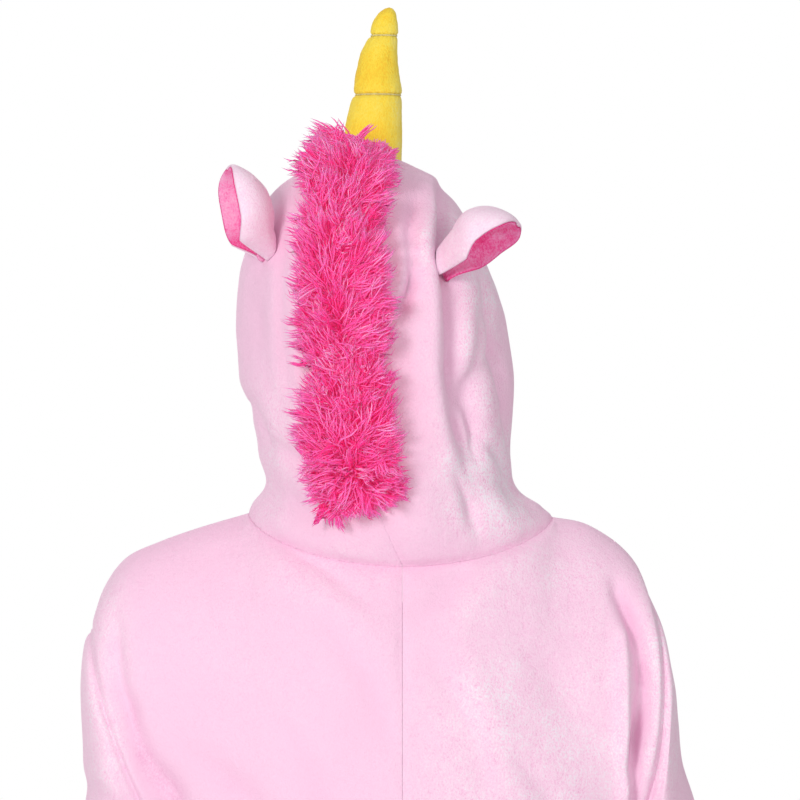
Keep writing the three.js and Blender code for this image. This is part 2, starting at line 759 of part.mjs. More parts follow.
function makePlacket() {
  const left = panels.front_left;
  const right = panels.front_right;
  const rowCount = armholeRows + placketLevels;
  const points = [];
  const normals = [];
  for (let j = 0; j < rowCount; j++) {
    const k = j * left.columnCount;
    points.push(left.points[k + 1], left.points[k].clone().setX(0), right.points[k + 1]);
    normals.push(left.normals[k + 1], left.normals[k], right.normals[k + 1]);
  }
  const cells = [];
  for (let a = 0; a + 3 < points.length; a += 3) {
    cells.push([a + 1, a + 4, a + 3, a], [a + 1, a + 2, a + 5, a + 4]);
  }
  return { points, normals, cells };
}

const placket = makePlacket();
addMesh('placket', thicken(placket, seamGap, seamGap + placketThickness), plush);

// A button with a raised rim, lying on the placket's middle at one height.
const buttonProfile = [[0, 0], [8.4, 0], [9, 0.8], [9, 2.4], [8.2, 3.1], [6.8, 2.4], [0, 2.2]];

function makeButton() {
  const profile = buttonProfile.map(([x, y]) => new THREE.Vector2(x, y));
  const geometry = new THREE.LatheGeometry(profile, buttonSides);
  geometry.deleteAttribute('uv');
  geometry.deleteAttribute('normal');
  return geometry;
}

function seatOnPlacket(mesh, z) {
  const middles = placket.points.filter((_, k) => k % 3 === 1);
  const row = middles.findIndex((point) => point.z < z) - 1;
  const upper = middles[row];
  const lower = middles[row + 1];
  const down = lower.clone().sub(upper).normalize();
  const away = down.clone().cross(vec(1, 0, 0)).normalize();
  const lift = seamGap + placketThickness + buttonSeat;
  mesh.position.copy(upper).lerp(lower, (upper.z - z) / (upper.z - lower.z)).addScaledVector(away, lift);
  mesh.quaternion.setFromUnitVectors(vec(0, 1, 0), away);
}

buttonHeights.forEach((z, n) => seatOnPlacket(addMesh(`button_${n + 1}`, makeButton(), plastic), z));

export default group;
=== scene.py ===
import math

import bpy
import numpy as np
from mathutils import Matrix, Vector, noise
from mathutils.bvhtree import BVHTree


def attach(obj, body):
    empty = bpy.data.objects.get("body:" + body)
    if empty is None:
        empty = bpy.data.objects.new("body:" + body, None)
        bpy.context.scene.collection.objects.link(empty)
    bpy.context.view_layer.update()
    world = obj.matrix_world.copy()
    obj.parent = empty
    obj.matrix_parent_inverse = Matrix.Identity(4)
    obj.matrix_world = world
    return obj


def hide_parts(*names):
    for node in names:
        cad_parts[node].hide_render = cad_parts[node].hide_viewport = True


# Unicorn kigurumi, held as it is worn. Tables are in millimetres: the wearer faces -Y, +X is
# their left, Z is up, and the origin is the middle of the neck hole.
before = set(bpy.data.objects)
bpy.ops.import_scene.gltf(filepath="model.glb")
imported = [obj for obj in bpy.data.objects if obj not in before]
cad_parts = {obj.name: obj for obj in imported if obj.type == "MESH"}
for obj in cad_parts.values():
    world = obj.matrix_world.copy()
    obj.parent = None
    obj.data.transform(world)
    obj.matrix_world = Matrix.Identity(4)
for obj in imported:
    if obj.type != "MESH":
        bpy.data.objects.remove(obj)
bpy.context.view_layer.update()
mm = 0.001
cloth = dict(thickness=2.4, seamGap=0.12)

view = dict(aimX=2, aimZ=102, distance=4500, width=680, sensor=36)
studio = dict(floorRadius=3.2, floorSides=96, floorZ=-1.3125, skyLight=0.5)
lamps = [
    dict(name="softboxLeft", place=(1.5, 3.2, 0.8), size=1.0, watts=59),
    dict(name="softboxRight", place=(-1.7, 2.9, 0.5), size=1.6, watts=17),
    dict(name="softboxTop", place=(0.2, 0.3, 3.0), size=2.4, watts=5),
    dict(name="softboxFront", place=(0.8, -3.2, 1.2), size=2.4, watts=34),
]


def addObject(name, data):
    thing = bpy.data.objects.new(name, data)
    bpy.context.collection.objects.link(thing)
    return thing


def addCamera():
    data = bpy.data.cameras.new("backView")
    data.sensor_width = view["sensor"]
    data.lens = view["sensor"] * view["distance"] / view["width"]
    data.clip_end = 60
    camera = addObject("backView", data)
    camera.location = (view["aimX"] * mm, view["distance"] * mm, view["aimZ"] * mm)
    camera.rotation_euler = (math.pi / 2, 0, math.pi)
    bpy.context.scene.camera = camera


def addLamps():
    for lamp in lamps:
        data = bpy.data.lights.new(lamp["name"], "AREA")
        data.shape = "DISK"
        data.size = lamp["size"]
        data.energy = lamp["watts"]
        light = addObject(lamp["name"], data)
        light.location = lamp["place"]
        light.rotation_euler = (-Vector(lamp["place"])).to_track_quat("-Z", "Y").to_euler()


def addSky():
    world = bpy.data.worlds.new("paleStudio")
    world.use_nodes = True
    bpy.context.scene.world = world
    nodes, links = world.node_tree.nodes, world.node_tree.links
    seen = nodes["Background"]
    seen.inputs["Color"].default_value = (1, 1, 1, 1)
    lighting = nodes.new("ShaderNodeBackground")
    lighting.inputs["Strength"].default_value = studio["skyLight"]
    lighting.inputs["Color"].default_value = (1, 0.985, 0.99, 1)
    path = nodes.new("ShaderNodeLightPath")
    mix = nodes.new("ShaderNodeMixShader")
    links.new(path.outputs["Is Camera Ray"], mix.inputs[0])
    links.new(lighting.outputs[0], mix.inputs[1])
    links.new(seen.outputs[0], mix.inputs[2])
    links.new(mix.outputs[0], nodes["World Output"].inputs["Surface"])
    bpy.context.scene.view_settings.view_transform = "Standard"


addCamera()
addLamps()
addSky()
print("camera and light set")


def tint(red, green, blue):
    parts = [part / 255 for part in (red, green, blue)]
    return tuple(p / 12.92 if p <= 0.04045 else ((p + 0.055) / 1.055) ** 2.4 for p in parts) + (1,)


def startMaterial(name):
    material = bpy.data.materials.new(name)
    material.use_nodes = True
    tree = material.node_tree
    return material, tree, tree.nodes["Principled BSDF"]


def setInputs(node, values):
    for name, value in values.items():
        node.inputs[name].default_value = value


# Gives a shader its colour, its surface and the rest of its settings.
def dress(tree, shader, colour, normal, values):
    tree.links.new(colour, shader.inputs["Base Color"])
    tree.links.new(normal, shader.inputs["Normal"])
    setInputs(shader, values)


def addCoordinates(tree):
    return tree.nodes.new("ShaderNodeTexCoord").outputs["Object"]


def addAttribute(tree, name):
    node = tree.nodes.new("ShaderNodeAttribute")
    node.attribute_name = name
    return node.outputs["Fac"]


def addNoise(tree, vector, scale, detail, roughness):
    node = tree.nodes.new("ShaderNodeTexNoise")
    setInputs(node, {"Scale": scale, "Detail": detail, "Roughness": roughness})
    tree.links.new(vector, node.inputs["Vector"])
    return node.outputs["Fac"]


# One sum or product. Each value is a number or another node's output.
def addMath(tree, operation, *values):
    node = tree.nodes.new("ShaderNodeMath")
    node.operation = operation
    for socket, value in zip(node.inputs, values):
        if isinstance(value, (int, float)):
            socket.default_value = value
        else:
            tree.links.new(value, socket)
    return node.outputs[0]


def addRamp(tree, amount, stops):
    node = tree.nodes.new("ShaderNodeValToRGB")
    ramp = node.color_ramp
    while len(ramp.elements) < len(stops):
        ramp.elements.new(0.5)
    for element, (position, colour) in zip(ramp.elements, stops):
        element.position = position
        element.color = colour
    tree.links.new(amount, node.inputs["Fac"])
    return node.outputs["Color"]


def addBump(tree, height, distance, strength, normal=None):
    node = tree.nodes.new("ShaderNodeBump")
    setInputs(node, {"Distance": distance, "Strength": strength})
    tree.links.new(height, node.inputs["Height"])
    if normal is not None:
        tree.links.new(normal, node.inputs["Normal"])
    return node.outputs["Normal"]


# Short pile: patches brushed either way, clumps of pile, and the fibres themselves. The frost
# attribute whitens the pile where it is rubbed and stands up, and also carries painted light:
# paler ridges and darker creases, paler dimples on the ears and a paler side of the horn.
def makePlush(name, s):
    material, tree, shader = startMaterial(name)
    brushed = tree.nodes.new("ShaderNodeMapping")
    setInputs(brushed, {"Scale": s["brushing"]})
    tree.links.new(addCoordinates(tree), brushed.inputs["Vector"])
    patches = addNoise(tree, brushed.outputs[0], s["patchScale"], 4, 0.62)
    clumps = addNoise(tree, brushed.outputs[0], s["clumpScale"], 5, 0.7)
    fibres = addNoise(tree, brushed.outputs[0], s["fibreScale"], 3, 0.75)
    frostAndPaintedLight = addAttribute(tree, "frostAndPaintedLight")
    spread = s["patchShare"] + s["clumpShare"] + s["fibreShare"]
    amount = addMath(tree, "MULTIPLY_ADD", patches, s["patchShare"], -spread / 2)
    amount = addMath(tree, "MULTIPLY_ADD", clumps, s["clumpShare"], amount)
    amount = addMath(tree, "MULTIPLY_ADD", fibres, s["fibreShare"], amount)
    # frosted cloth shows its pile more than cloth that is brushed flat
    strength = addMath(tree, "MULTIPLY_ADD", frostAndPaintedLight, s["frostGain"], s["flatGain"])
    amount = addMath(tree, "ADD", addMath(tree, "MULTIPLY", amount, strength), frostAndPaintedLight)
    colour = addRamp(tree, amount, list(zip(s["stops"], (s["deep"], s["base"], s["pale"], s["frosted"]))))
    normal = addBump(tree, clumps, s["clumpHeight"], s["clumpRelief"])
    normal = addBump(tree, fibres, s["fibreHeight"], s["fibreRelief"], normal)
    dress(tree, shader, colour, normal, {
        "Roughness": s["roughness"], "Specular IOR Level": 0.12, "Sheen Weight": s["sheen"],
        "Sheen Roughness": 0.42, "Sheen Tint": s["sheenTint"]})
    return material


plushSettings = dict(
    deep=tint(240, 180, 213), base=tint(250, 206, 231), pale=tint(251, 217, 236),
    frosted=tint(246, 232, 243), sheen=0.34, sheenTint=tint(246, 240, 246),
    brushing=(1, 1, 0.8), patchScale=11, clumpScale=110, fibreScale=620,
    patchShare=0.3, clumpShare=0.7, fibreShare=1.7, frostGain=5.2, flatGain=-1.4,
    stops=(0.0, 0.3, 0.62, 1.0), clumpHeight=0.0013, clumpRelief=0.7, fibreHeight=0.0008,
    fibreRelief=0.9, roughness=0.92)
palePlushSettings = dict(
    plushSettings, deep=tint(247, 205, 229), base=tint(251, 218, 238), pale=tint(252, 228, 243),
    frosted=tint(254, 240, 249))
liningSettings = dict(
    plushSettings, deep=tint(244, 66, 140), base=tint(250, 108, 174), pale=tint(252, 156, 204),
    frosted=tint(252, 190, 220), sheen=0.3, sheenTint=tint(255, 190, 224),
    patchScale=34, patchShare=1.1, frostGain=0, flatGain=1)
goldSettings = dict(
    plushSettings, deep=tint(248, 184, 46), base=tint(255, 222, 70), pale=tint(255, 234, 100),
    frosted=tint(254, 239, 150), sheen=0.3, sheenTint=tint(255, 240, 170),
    brushing=(1, 1, 0.5), patchScale=30, patchShare=0.9, clumpScale=160, clumpShare=0.6,
    fibreScale=800, frostGain=1.7, flatGain=0.05)

plush = makePlush("palePinkPlush", plushSettings)
earPlush = makePlush("earPlush", palePlushSettings)
hotPlush = makePlush("hotPinkPlush", liningSettings)
goldPlush = makePlush("goldPlush", goldSettings)


# The knitted back of the plush, seen inside the suit.
def makeKnitBack():
    material, tree, shader = startMaterial("knitBack")
    coordinates = addCoordinates(tree)
    ribs = tree.nodes.new("ShaderNodeTexWave")
    setInputs(ribs, {"Scale": 260, "Distortion": 1.6, "Detail": 2})
    tree.links.new(coordinates, ribs.inputs["Vector"])
    mottle = addNoise(tree, coordinates, 24, 4, 0.6)
    colour = addRamp(tree, mottle, [(0.25, tint(236, 178, 210)), (0.75, tint(247, 202, 226))])
    normal = addBump(tree, ribs.outputs["Fac"], 0.0005, 0.7)
    dress(tree, shader, colour, normal, {"Roughness": 0.85, "Specular IOR Level": 0.2})
    return material


knitBack = makeKnitBack()


# Yarn takes its tone from the strand it is on, darker at the root.
def makeYarn(name, stops, sheen):
    material, tree, shader = startMaterial(name)
    fleck = addNoise(tree, addCoordinates(tree), 380, 3, 0.6)
    amount = addMath(tree, "MULTIPLY_ADD", fleck, 0.24, addAttribute(tree, "tone"))
    amount = addMath(tree, "SUBTRACT", amount, 0.12)
    # painted light: a uniform pink emission makes the yarn glow, lifting its shaded strands
    dress(tree, shader, addRamp(tree, amount, stops), addBump(tree, fleck, 0.0003, 0.6), {
        "Roughness": 0.6, "Specular IOR Level": 0.2, "Sheen Weight": sheen, "Sheen Roughness": 0.4,
        "Sheen Tint": tint(255, 150, 205), "Subsurface Weight": 0.6,
        "Subsurface Radius": (1.0, 0.3, 0.5), "Subsurface Scale": 0.003,
        "Emission Color": tint(255, 62, 140), "Emission Strength": 0.13})
    return material


yarn = makeYarn("hotPinkYarn", [
    (0.0, tint(250, 44, 132)), (0.35, tint(255, 94, 172)), (0.65, tint(255, 122, 192)),
    (1.0, tint(255, 170, 217))], 0.08)


def makeThreadMaterial(name, dark, light):
    material, tree, shader = startMaterial(name)
    fibre = addNoise(tree, addCoordinates(tree), 900, 3, 0.6)
    colour = addRamp(tree, fibre, [(0.3, dark), (0.7, light)])
    dress(tree, shader, colour, addBump(tree, fibre, 0.0002, 0.6), {"Roughness": 0.6})
    return material


hornThread = makeThreadMaterial("hornThread", tint(196, 184, 116), tint(236, 228, 172))
seamThread = makeThreadMaterial("seamThread", tint(236, 168, 204), tint(248, 202, 226))


def makeButtonPlastic():
    material, tree, shader = startMaterial("buttonPlastic")
    coordinates = addCoordinates(tree)
    cloud = addNoise(tree, coordinates, 130, 4, 0.55)
    colour = addRamp(tree, cloud, [(0.3, tint(238, 172, 206)), (0.7, tint(248, 204, 226))])
    scuffs = addNoise(tree, coordinates, 700, 2, 0.5)
    dress(tree, shader, colour, addBump(tree, scuffs, 0.00008, 0.5),
          {"Roughness": 0.32, "Coat Weight": 0.3, "Coat Roughness": 0.25})
    return material


buttonPlastic = makeButtonPlastic()


def addFloor():
    turns = [2 * math.pi * k / studio["floorSides"] for k in range(studio["floorSides"])]
    points = [(studio["floorRadius"] * math.cos(turn), studio["floorRadius"] * math.sin(turn),
               studio["floorZ"]) for turn in turns]
    data = bpy.data.meshes.new("studioFloor")
    data.from_pydata(points, [], [list(range(len(points)))])
    floor = addObject("studioFloor", data)
    material, _, shader = startMaterial("paleFloor")
    setInputs(shader, {"Base Color": (0.86, 0.85, 0.85, 1), "Roughness": 0.8})
    data.materials.append(material)


addFloor()
print("materials ready")


def makeTable(names, rows):
    return dict(zip(names.split(), np.array(rows, float).T))


# Every column of a table as a smooth curve through its rows, read at places counted in rows.
def readTable(table, place):
    place = np.asarray(place, float)
    last = len(next(iter(table.values()))) - 1
    i = np.clip(np.floor(place).astype(int), 0, last - 1)
    f = place - i
    out = {}
    for name, column in table.items():
        longer = np.concatenate((
            [2 * column[0] - column[1]], column, [2 * column[-1] - column[-2]]))
        a, b, c, d = (longer[i + n] for n in range(4))
        out[name] = b + 0.5 * f * (c - a + f * (2*a - 5*b + 4*c - d + f * (3*(b - c) + d - a)))
    return out


def blend(a, b, share):
    return a + (b - a) * share


def smooth(value, low, high):
    t = np.clip((value - low) / (high - low), 0, 1)
    return t * t * (3 - 2 * t)


def stack(x, y, z):
    return np.stack(np.broadcast_arrays(x, y, z), -1).astype(float)


def unit(vectors):
    return vectors / np.maximum(np.linalg.norm(vectors, axis=-1, keepdims=True), 1e-9)


# Length of a line up to each of its points.
def lengthAlong(points):
    return np.concatenate(([0], np.cumsum(np.linalg.norm(np.diff(points, axis=0), axis=1))))


# A line's columns read at places along it.
def readLine(at, along, values):
    return np.stack([np.interp(at, along, values[:, k]) for k in range(3)], -1)


# Even places from 0 to 1 with a few more close to both ends, where seams are.
def places(count, close=(0.18, 0.45, 0.75)):
    step = 1 / count
    extra = [c * step for c in close]
    inner = np.linspace(0, 1, count + 1)
    return np.unique(np.concatenate((inner, extra, [1 - e for e in extra])).round(9))


# The powers bend the neck seam, the legs, the sleeves' heads, the hood and the roll of the cloth
# over the shoulders. rollZ holds its roundness at the centre and at the shoulder, and
# armholePull says from where on the armhole shapes the panel, and its power.
shape = dict(
    neckBackDepth=78, neckFrontDepth=80, neckBackZ=-37, neckFrontZ=-75, neckPower=1.3,
    neckTilt=(0.35, 0.81), squareness=2.4, neckShare=0.5, legPower=0.9, bulgePower=1.6,
    hoodPower=1.3, rollX=1.3, rollY=0.8, rollZ=(0.4, 0.9), armholePull=(0.3, 2))
sides = dict(left=1, right=-1)

shoulderLines = dict(
    left=makeTable("x z", [
        [131, 6], [172, -6], [206, -18], [235, -32], [254, -58], [264, -91]]),
    right=makeTable("x z", [
        [128, 3], [151, -1], [168, -9], [185, -21], [197, -35], [203, -52]]))

sleeveNames = "innerX innerZ outerX outerZ bulge depth midY"
sleeves = dict(
    left=makeTable(sleeveNames, [
        [184, -300, 264, -91, 12, 66, 0],
        [188, -307, 270, -103, 12, 69, 0],
        [191, -317, 272, -150, 8, 70, -1],
        [192, -331, 271, -205, 4, 69, -3],
        [193, -352, 271, -262, 0, 67, -6],
        [195, -386, 272, -330, 0, 64, -11],
        [197, -430, 273, -400, 0, 61, -17],
        [200, -500, 276, -480, 0, 58, -27],
        [204, -580, 276, -570, 0, 54, -39],
        [207, -652, 272, -652, 0, 50, -51]]),
    right=makeTable(sleeveNames, [
        [176, -300, 203, -52, 28, 66, 0],
        [181, -308, 212, -66, 27, 69, 0],
        [185, -318, 223, -108, 18, 71, -1],
        [187, -332, 236, -168, 8, 70, -3],
        [190, -353, 249, -238, 0, 68, -6],
        [194, -386, 261, -310, 0, 65, -11],
        [198, -430, 268, -385, 0, 62, -17],
        [204, -500, 277, -470, 0, 58, -27],
        [210, -580, 283, -568, 0, 54, -39],
        [215, -652, 284, -652, 0, 50, -51]]))

# Body below the armholes. legShare grows from 0, half a trunk, to 1, a whole leg.
levels = makeTable("seamZ sideZ outer back front inner legShare", [
    [-300, -300, 180, 122, 116, 0, 0],
    [-380, -380, 184, 117, 122, 0, 0],
    [-470, -470, 186, 113, 124, 0, 0],
    [-560, -560, 190, 120, 121, 0, 0],
    [-650, -640, 195, 130, 118, 0, 0],
    [-745, -710, 198, 134, 114, 0, 0.13],
    [-802, -765, 199, 130, 110, 0, 0.42],
    [-826, -805, 199, 120, 108, 3, 0.75],
    [-832, -842, 198, 108, 106, 6, 1],
    [-884, -892, 195, 102, 102, 7, 1],
    [-980, -980, 188, 95, 96, 10, 1],
    [-1090, -1090, 180, 86, 88, 16, 1],
    [-1200, -1200, 172, 78, 80, 24, 1],
    [-1310, -1310, 165, 70, 71, 33, 1]])
crotchLevel = 8

# Hood from the neck seam to the seam over the crown.
hoodRows = makeTable("sideZ backZ frontZ midX halfWidth back front opening turn", [
    [4, -37, -75, 1.5, 129.5, 78, 80, 180, 0],
    [15, -17, -52, 6, 122, 93, 90, 172, 2],
    [33, 8, -15, 11, 107, 103, 102, 150, 5],
    [64, 48, 36, 16, 107.5, 113, 112, 134, 9],
    [110, 102, 96, 20, 114, 122, 121, 125, 12],
    [152, 150, 150, 24, 115, 128, 125, 122, 11],
    [196, 195, 204, 29, 109, 129, 125, 123, 9.5],
    [233, 230, 241, 33, 98, 121, 119, 131, 8],
    [263, 255, 262, 35, 85, 108, 110, 153, 8],
    [287, 276, 275, 34, 67, 93, 100, 180, 8],
    [304, 291, 289, 32, 39, 77, 87, 180, 8],
    [315, 301, 300, 30, 0, 60, 72, 180, 8]])
crownRow = 11


def sleevePoint(side, place, angle):
    ring = readTable(sleeves[side], place)
    c, s = np.cos(angle), np.sin(angle)
    middle = (1 + c) / 2
    return stack(
        sides[side] * (blend(ring["innerX"], ring["outerX"], middle)
                       + ring["bulge"] * abs(s) ** shape["bulgePower"]),
        ring["midY"] + ring["depth"] * s,
        blend(ring["innerZ"], ring["outerZ"], middle))


def armholeNormal(side, angle):
    hole = readTable(sleeves[side], 0)
    return unit(stack(0, np.sin(angle) / hole["depth"],
                      np.cos(angle) * 2 / (hole["outerZ"] - hole["innerZ"])))


# The neck seam, from the centre (0) to the neck point (1), on the back (+1) or the front (-1).
def neckPoint(side, face, t):
    end = readTable(shoulderLines[side], 0)
    angle = np.asarray(t, float) * math.pi / 2
    depth = shape["neckBackDepth"] if face > 0 else shape["neckFrontDepth"]
    centreZ = shape["neckBackZ"] if face > 0 else shape["neckFrontZ"]
    level = np.clip(np.cos(angle), 0, 1)
    return stack(sides[side] * end["x"] * np.sin(angle), face * depth * level,
                 blend(end["z"], centreZ, level ** shape["neckPower"]))


def neckNormal(side, face, t):
    angle = np.asarray(t, float) * math.pi / 2
    up = blend(*shape["neckTilt"], np.asarray(t, float))
    out = np.sqrt(1 - up * up)
    return stack(sides[side] * out * np.sin(angle), face * out * np.cos(angle), up)


# Half a trunk or a whole leg. u runs from the centre seam or inseam to the side seam.
def levelPoint(side, face, level, u):
    depth = level["back"] if face > 0 else level["front"]
    across = np.sin(u * math.pi / 2)
    power = shape["squareness"]
    trunkX = level["outer"] * across
    trunkY = depth * np.clip(1 - across ** power, 0, 1) ** (1 / power)
    legX = blend(level["inner"], level["outer"], (1 - np.cos(u * math.pi)) / 2)
    legY = depth * np.clip(np.sin(u * math.pi), 0, 1) ** shape["legPower"]
    share = np.clip(level["legShare"], 0, 1)
    return stack(sides[side] * blend(trunkX, legX, share), face * blend(trunkY, legY, share),
                 blend(level["seamZ"], level["sideZ"], u))


# Above the armhole's foot the cloth leaves the neck or shoulder seam and rolls down the body.
def upperPoint(side, face, u, v):
    line = shoulderLines[side]
    lastPlace = len(line["x"]) - 1
    share = shape["neckShare"]
    shoulder = readTable(line, np.clip((u - share) / (1 - share), 0, 1) * lastPlace)
    shoulder = stack(sides[side] * shoulder["x"], 0, shoulder["z"])
    top = np.where((u <= share)[..., None], neckPoint(side, face, np.clip(u / share, 0, 1)), shoulder)
    level = readTable(levels, 0)
    hole = readTable(sleeves[side], 0)
    level["outer"] = hole["innerX"]
    roll = v * math.pi / 2

    def rolled(at, start, end):
        return stack(
            blend(start[..., 0], end[..., 0], v ** shape["rollX"]),
            blend(start[..., 1], end[..., 1], np.sin(roll) ** shape["rollY"]),
            blend(start[..., 2], end[..., 2], blend(v, 1 - np.cos(roll), blend(*shape["rollZ"], at))))

    point = rolled(u, top, levelPoint(side, face, level, u))
    edgeTop = np.array([sides[side] * line["x"][-1], 0, line["z"][-1]])
    edgeFoot = np.array([sides[side] * float(level["outer"]), 0, float(level["sideZ"])])
    edge = rolled(1, edgeTop, edgeFoot)
    armhole = sleevePoint(side, np.zeros_like(v), face * v * math.pi)
    start, power = shape["armholePull"]
    pull = np.clip((u - start) / (1 - start), 0, 1) ** power
    return point + (armhole - edge) * pull[..., None]


def hoodPoint(side, place, q):
    row = readTable(hoodRows, place)
    opening = np.minimum(row["opening"], 180)
    angle = np.radians(np.where(q <= 1, 90 * q, blend(opening, 90, 2 - q)))
    turn = np.radians(row["turn"])
    c = np.cos(angle)
    x = sides[side] * np.maximum(row["halfWidth"], 0) * np.sin(angle)
    y = c * np.where(c > 0, row["back"], row["front"])
    return stack(
        row["midX"] + x * np.cos(turn) + y * np.sin(turn),
        y * np.cos(turn) - x * np.sin(turn),
        blend(row["sideZ"], np.where(c > 0, row["backZ"], row["frontZ"]),
              abs(c) ** shape["hoodPower"]))


# A crease runs from one place to another. height is up for a ridge and down for a trough, lap
# makes one flank steeper, and bow bends the line sideways.
creaseNames = "x0 z0 x1 z1 width height lap bow"
creaseShape = dict(endHeight=0.55, endReach=1.6, lapSharpness=2.2)


def creaseHeight(creases, x, z):
    total = np.zeros_like(x)
    for k in range(len(creases["x0"])):
        c = {name: column[k] for name, column in creases.items()}
        dx, dz = c["x1"] - c["x0"], c["z1"] - c["z0"]
        length = math.hypot(dx, dz)
        along = ((x - c["x0"]) * dx + (z - c["z0"]) * dz) / length
        t = np.clip(along / length, 0, 1)
        side = ((x - c["x0"]) * dz - (z - c["z0"]) * dx) / length - c["bow"] * 4 * t * (1 - t)
        beyond = np.maximum(0, np.maximum(-along, along - length))
        away = side / c["width"]
        taper = blend(creaseShape["endHeight"], 1, np.sin(math.pi * t))
        fall = np.exp(-away ** 2 - (beyond / (creaseShape["endReach"] * c["width"])) ** 2)
        lap = 1 + c["lap"] * np.tanh(creaseShape["lapSharpness"] * away)
        total += c["height"] * taper * fall * lap
    return total


def gridNormals(points, closed=False):
    down = np.gradient(points, axis=0)
    if closed:
        across = np.roll(points, -1, axis=1) - np.roll(points, 1, axis=1)
    else:
        across = np.gradient(points, axis=1)
    return unit(np.cross(down, across))


# Distance of every grid point from one border, counted along the cloth.
def fromBorder(points, axis, atEnd):
    steps = np.linalg.norm(np.diff(points, axis=axis), axis=-1)
    zero = np.zeros_like(np.take(steps, [0], axis=axis))
    if atEnd:
        steps = np.flip(steps, axis=axis)
    total = np.concatenate((zero, np.cumsum(steps, axis=axis)), axis=axis)
    return np.flip(total, axis=axis) if atEnd else total


# Slow uneven swelling of soft cloth, the same each run.
def unevenness(points, wavelength, seed):
    flat = points.reshape(-1, 3) / wavelength
    shift = Vector((seed * 7.31, seed * 3.17, seed * 1.93))
    values = [noise.noise(Vector(p) + shift) for p in flat]
    return np.array(values).reshape(points.shape[:-1])


# Cells between the rows of a grid. A closed grid joins its last column to its first.
def gridQuads(rows, columns, closed=False):
    j, i = np.meshgrid(np.arange(rows - 1), np.arange(columns if closed else columns - 1), indexing="ij")
    nextI = (i + 1) % columns
    return np.stack((j * columns + i, (j + 1) * columns + i,
                     (j + 1) * columns + nextI, j * columns + nextI), -1).reshape(-1, 4)


# One object from points in millimetres and arrays of faces, each with its own number of corners.
def meshObject(name, points, faceArrays, materials):
    data = bpy.data.meshes.new(name)
    data.vertices.add(len(points))
    data.vertices.foreach_set("co", (points * mm).astype(np.float32).ravel())
    corners = np.concatenate([faces.ravel() for faces in faceArrays])
    sizes = np.concatenate([np.full(len(faces), faces.shape[1]) for faces in faceArrays])
    data.loops.add(len(corners))
    data.loops.foreach_set("vertex_index", corners.astype(np.int32))
    data.polygons.add(len(sizes))
    data.polygons.foreach_set("loop_start", (np.cumsum(sizes) - sizes).astype(np.int32))
    data.polygons.foreach_set("use_smooth", np.ones(len(sizes), bool))
    data.update(calc_edges=True)
    data.validate()
    for material in materials:
        data.materials.append(material)
    return addObject(name, data)


# Closed wall from an outer and an inner grid. bulge rounds a free border outwards. The first
# material is the outside's, and a second one is the inside's.
def wallMesh(name, outer, inner, materials, flip=False, closed=False, bulge=None):
    rows, columns = outer.shape[:2]
    count = rows * columns
    quads = gridQuads(rows, columns, closed)
    if flip:
        quads = quads[:, ::-1]
    # the borders that join both faces, each as a closed line of points
    top = np.arange(columns)
    bottom = (rows - 1) * columns + top
    left = np.arange(rows) * columns
    if closed:
        loops = [np.append(top, 0), np.append(bottom, bottom[0])[::-1]]
    else:
        loops = [np.concatenate((top, left[1:] + columns - 1, bottom[::-1][1:], left[::-1][1:]))]
    points = [outer.reshape(-1, 3), inner.reshape(-1, 3)]
    if bulge is None:
        bulge = np.zeros((rows, columns))
    inward = outer.copy()
    inward[0] -= outer[1]
    inward[-1] -= outer[-2]
    inward[1:-1] = 0
    if not closed:
        inward[1:-1, 0] = outer[1:-1, 0] - outer[1:-1, 1]
        inward[1:-1, -1] = outer[1:-1, -1] - outer[1:-1, -2]
    push = unit(inward) * bulge[..., None]
    middle = ((outer + inner) / 2 + push).reshape(-1, 3)
    faces = [quads, quads[:, ::-1] + count]
    start = 2 * count
    for loop in loops:
        ids = loop[:-1]
        points.append(middle[ids])
        n = len(ids)
        here = np.arange(n)
        there = (here + 1) % n
        upper = np.stack((ids, ids[there], start + there, start + here), -1)
        lower = np.stack((start + here, start + there, ids[there] + count, ids + count), -1)
        strips = np.concatenate((upper, lower))
        faces.append(strips if not flip else strips[:, ::-1])
        start += n
    faces = np.concatenate(faces)
    piece = meshObject(name, np.concatenate(points), [faces], materials)
    if len(materials) > 1:
        materialOf = np.zeros(len(faces), int)
        materialOf[len(quads):2 * len(quads)] = 1
        piece.data.polygons.foreach_set("material_index", materialOf)
    return piece


def setAttribute(piece, name, values):
    count = len(piece.data.vertices)
    filled = np.zeros(count, np.float32)
    values = np.asarray(values, np.float32).ravel()[:count]
    filled[:len(values)] = values
    piece.data.attributes.new(name, "FLOAT", "POINT").data.foreach_set("value", filled)


# Both faces of a wall carry the same frost and painted light.
def setFrostAndPaintedLight(piece, frostAndPaintedLight):
    setAttribute(piece, "frostAndPaintedLight", np.concatenate((frostAndPaintedLight.ravel(), frostAndPaintedLight.ravel())))


def seat(piece, node):
    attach(piece, "root")
    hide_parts(node)
    return piece


# Puts creases and swelling into a grid, and works out its dips at the seams. A dip is given by
# its axis, whether it is at that axis's end, its depth, its width, and the width over which
# creases fade towards it.
def finishCloth(points, normals, closed, creases, swell, dips, seed, flip=False):
    relief = creaseHeight(creases, points[..., 0], points[..., 2])
    for wavelength, height in swell:
        relief = relief + height * unevenness(points, wavelength, seed)
    calm = np.ones(points.shape[:-1])
    dip = np.zeros(points.shape[:-1])
    for axis, atEnd, depth, width, calmWidth in dips:
        distance = fromBorder(points, axis, atEnd)
        calm *= smooth(distance, 0, calmWidth)
        dip += depth * np.exp(-(distance / width) ** 2)
    moved = points + normals * (relief * calm)[..., None]
    fresh = gridNormals(moved, closed)
    return moved, -fresh if flip else fresh, relief * calm, dip


# The outside of each finished panel, for what is sewn onto it.
fineCloth = {}


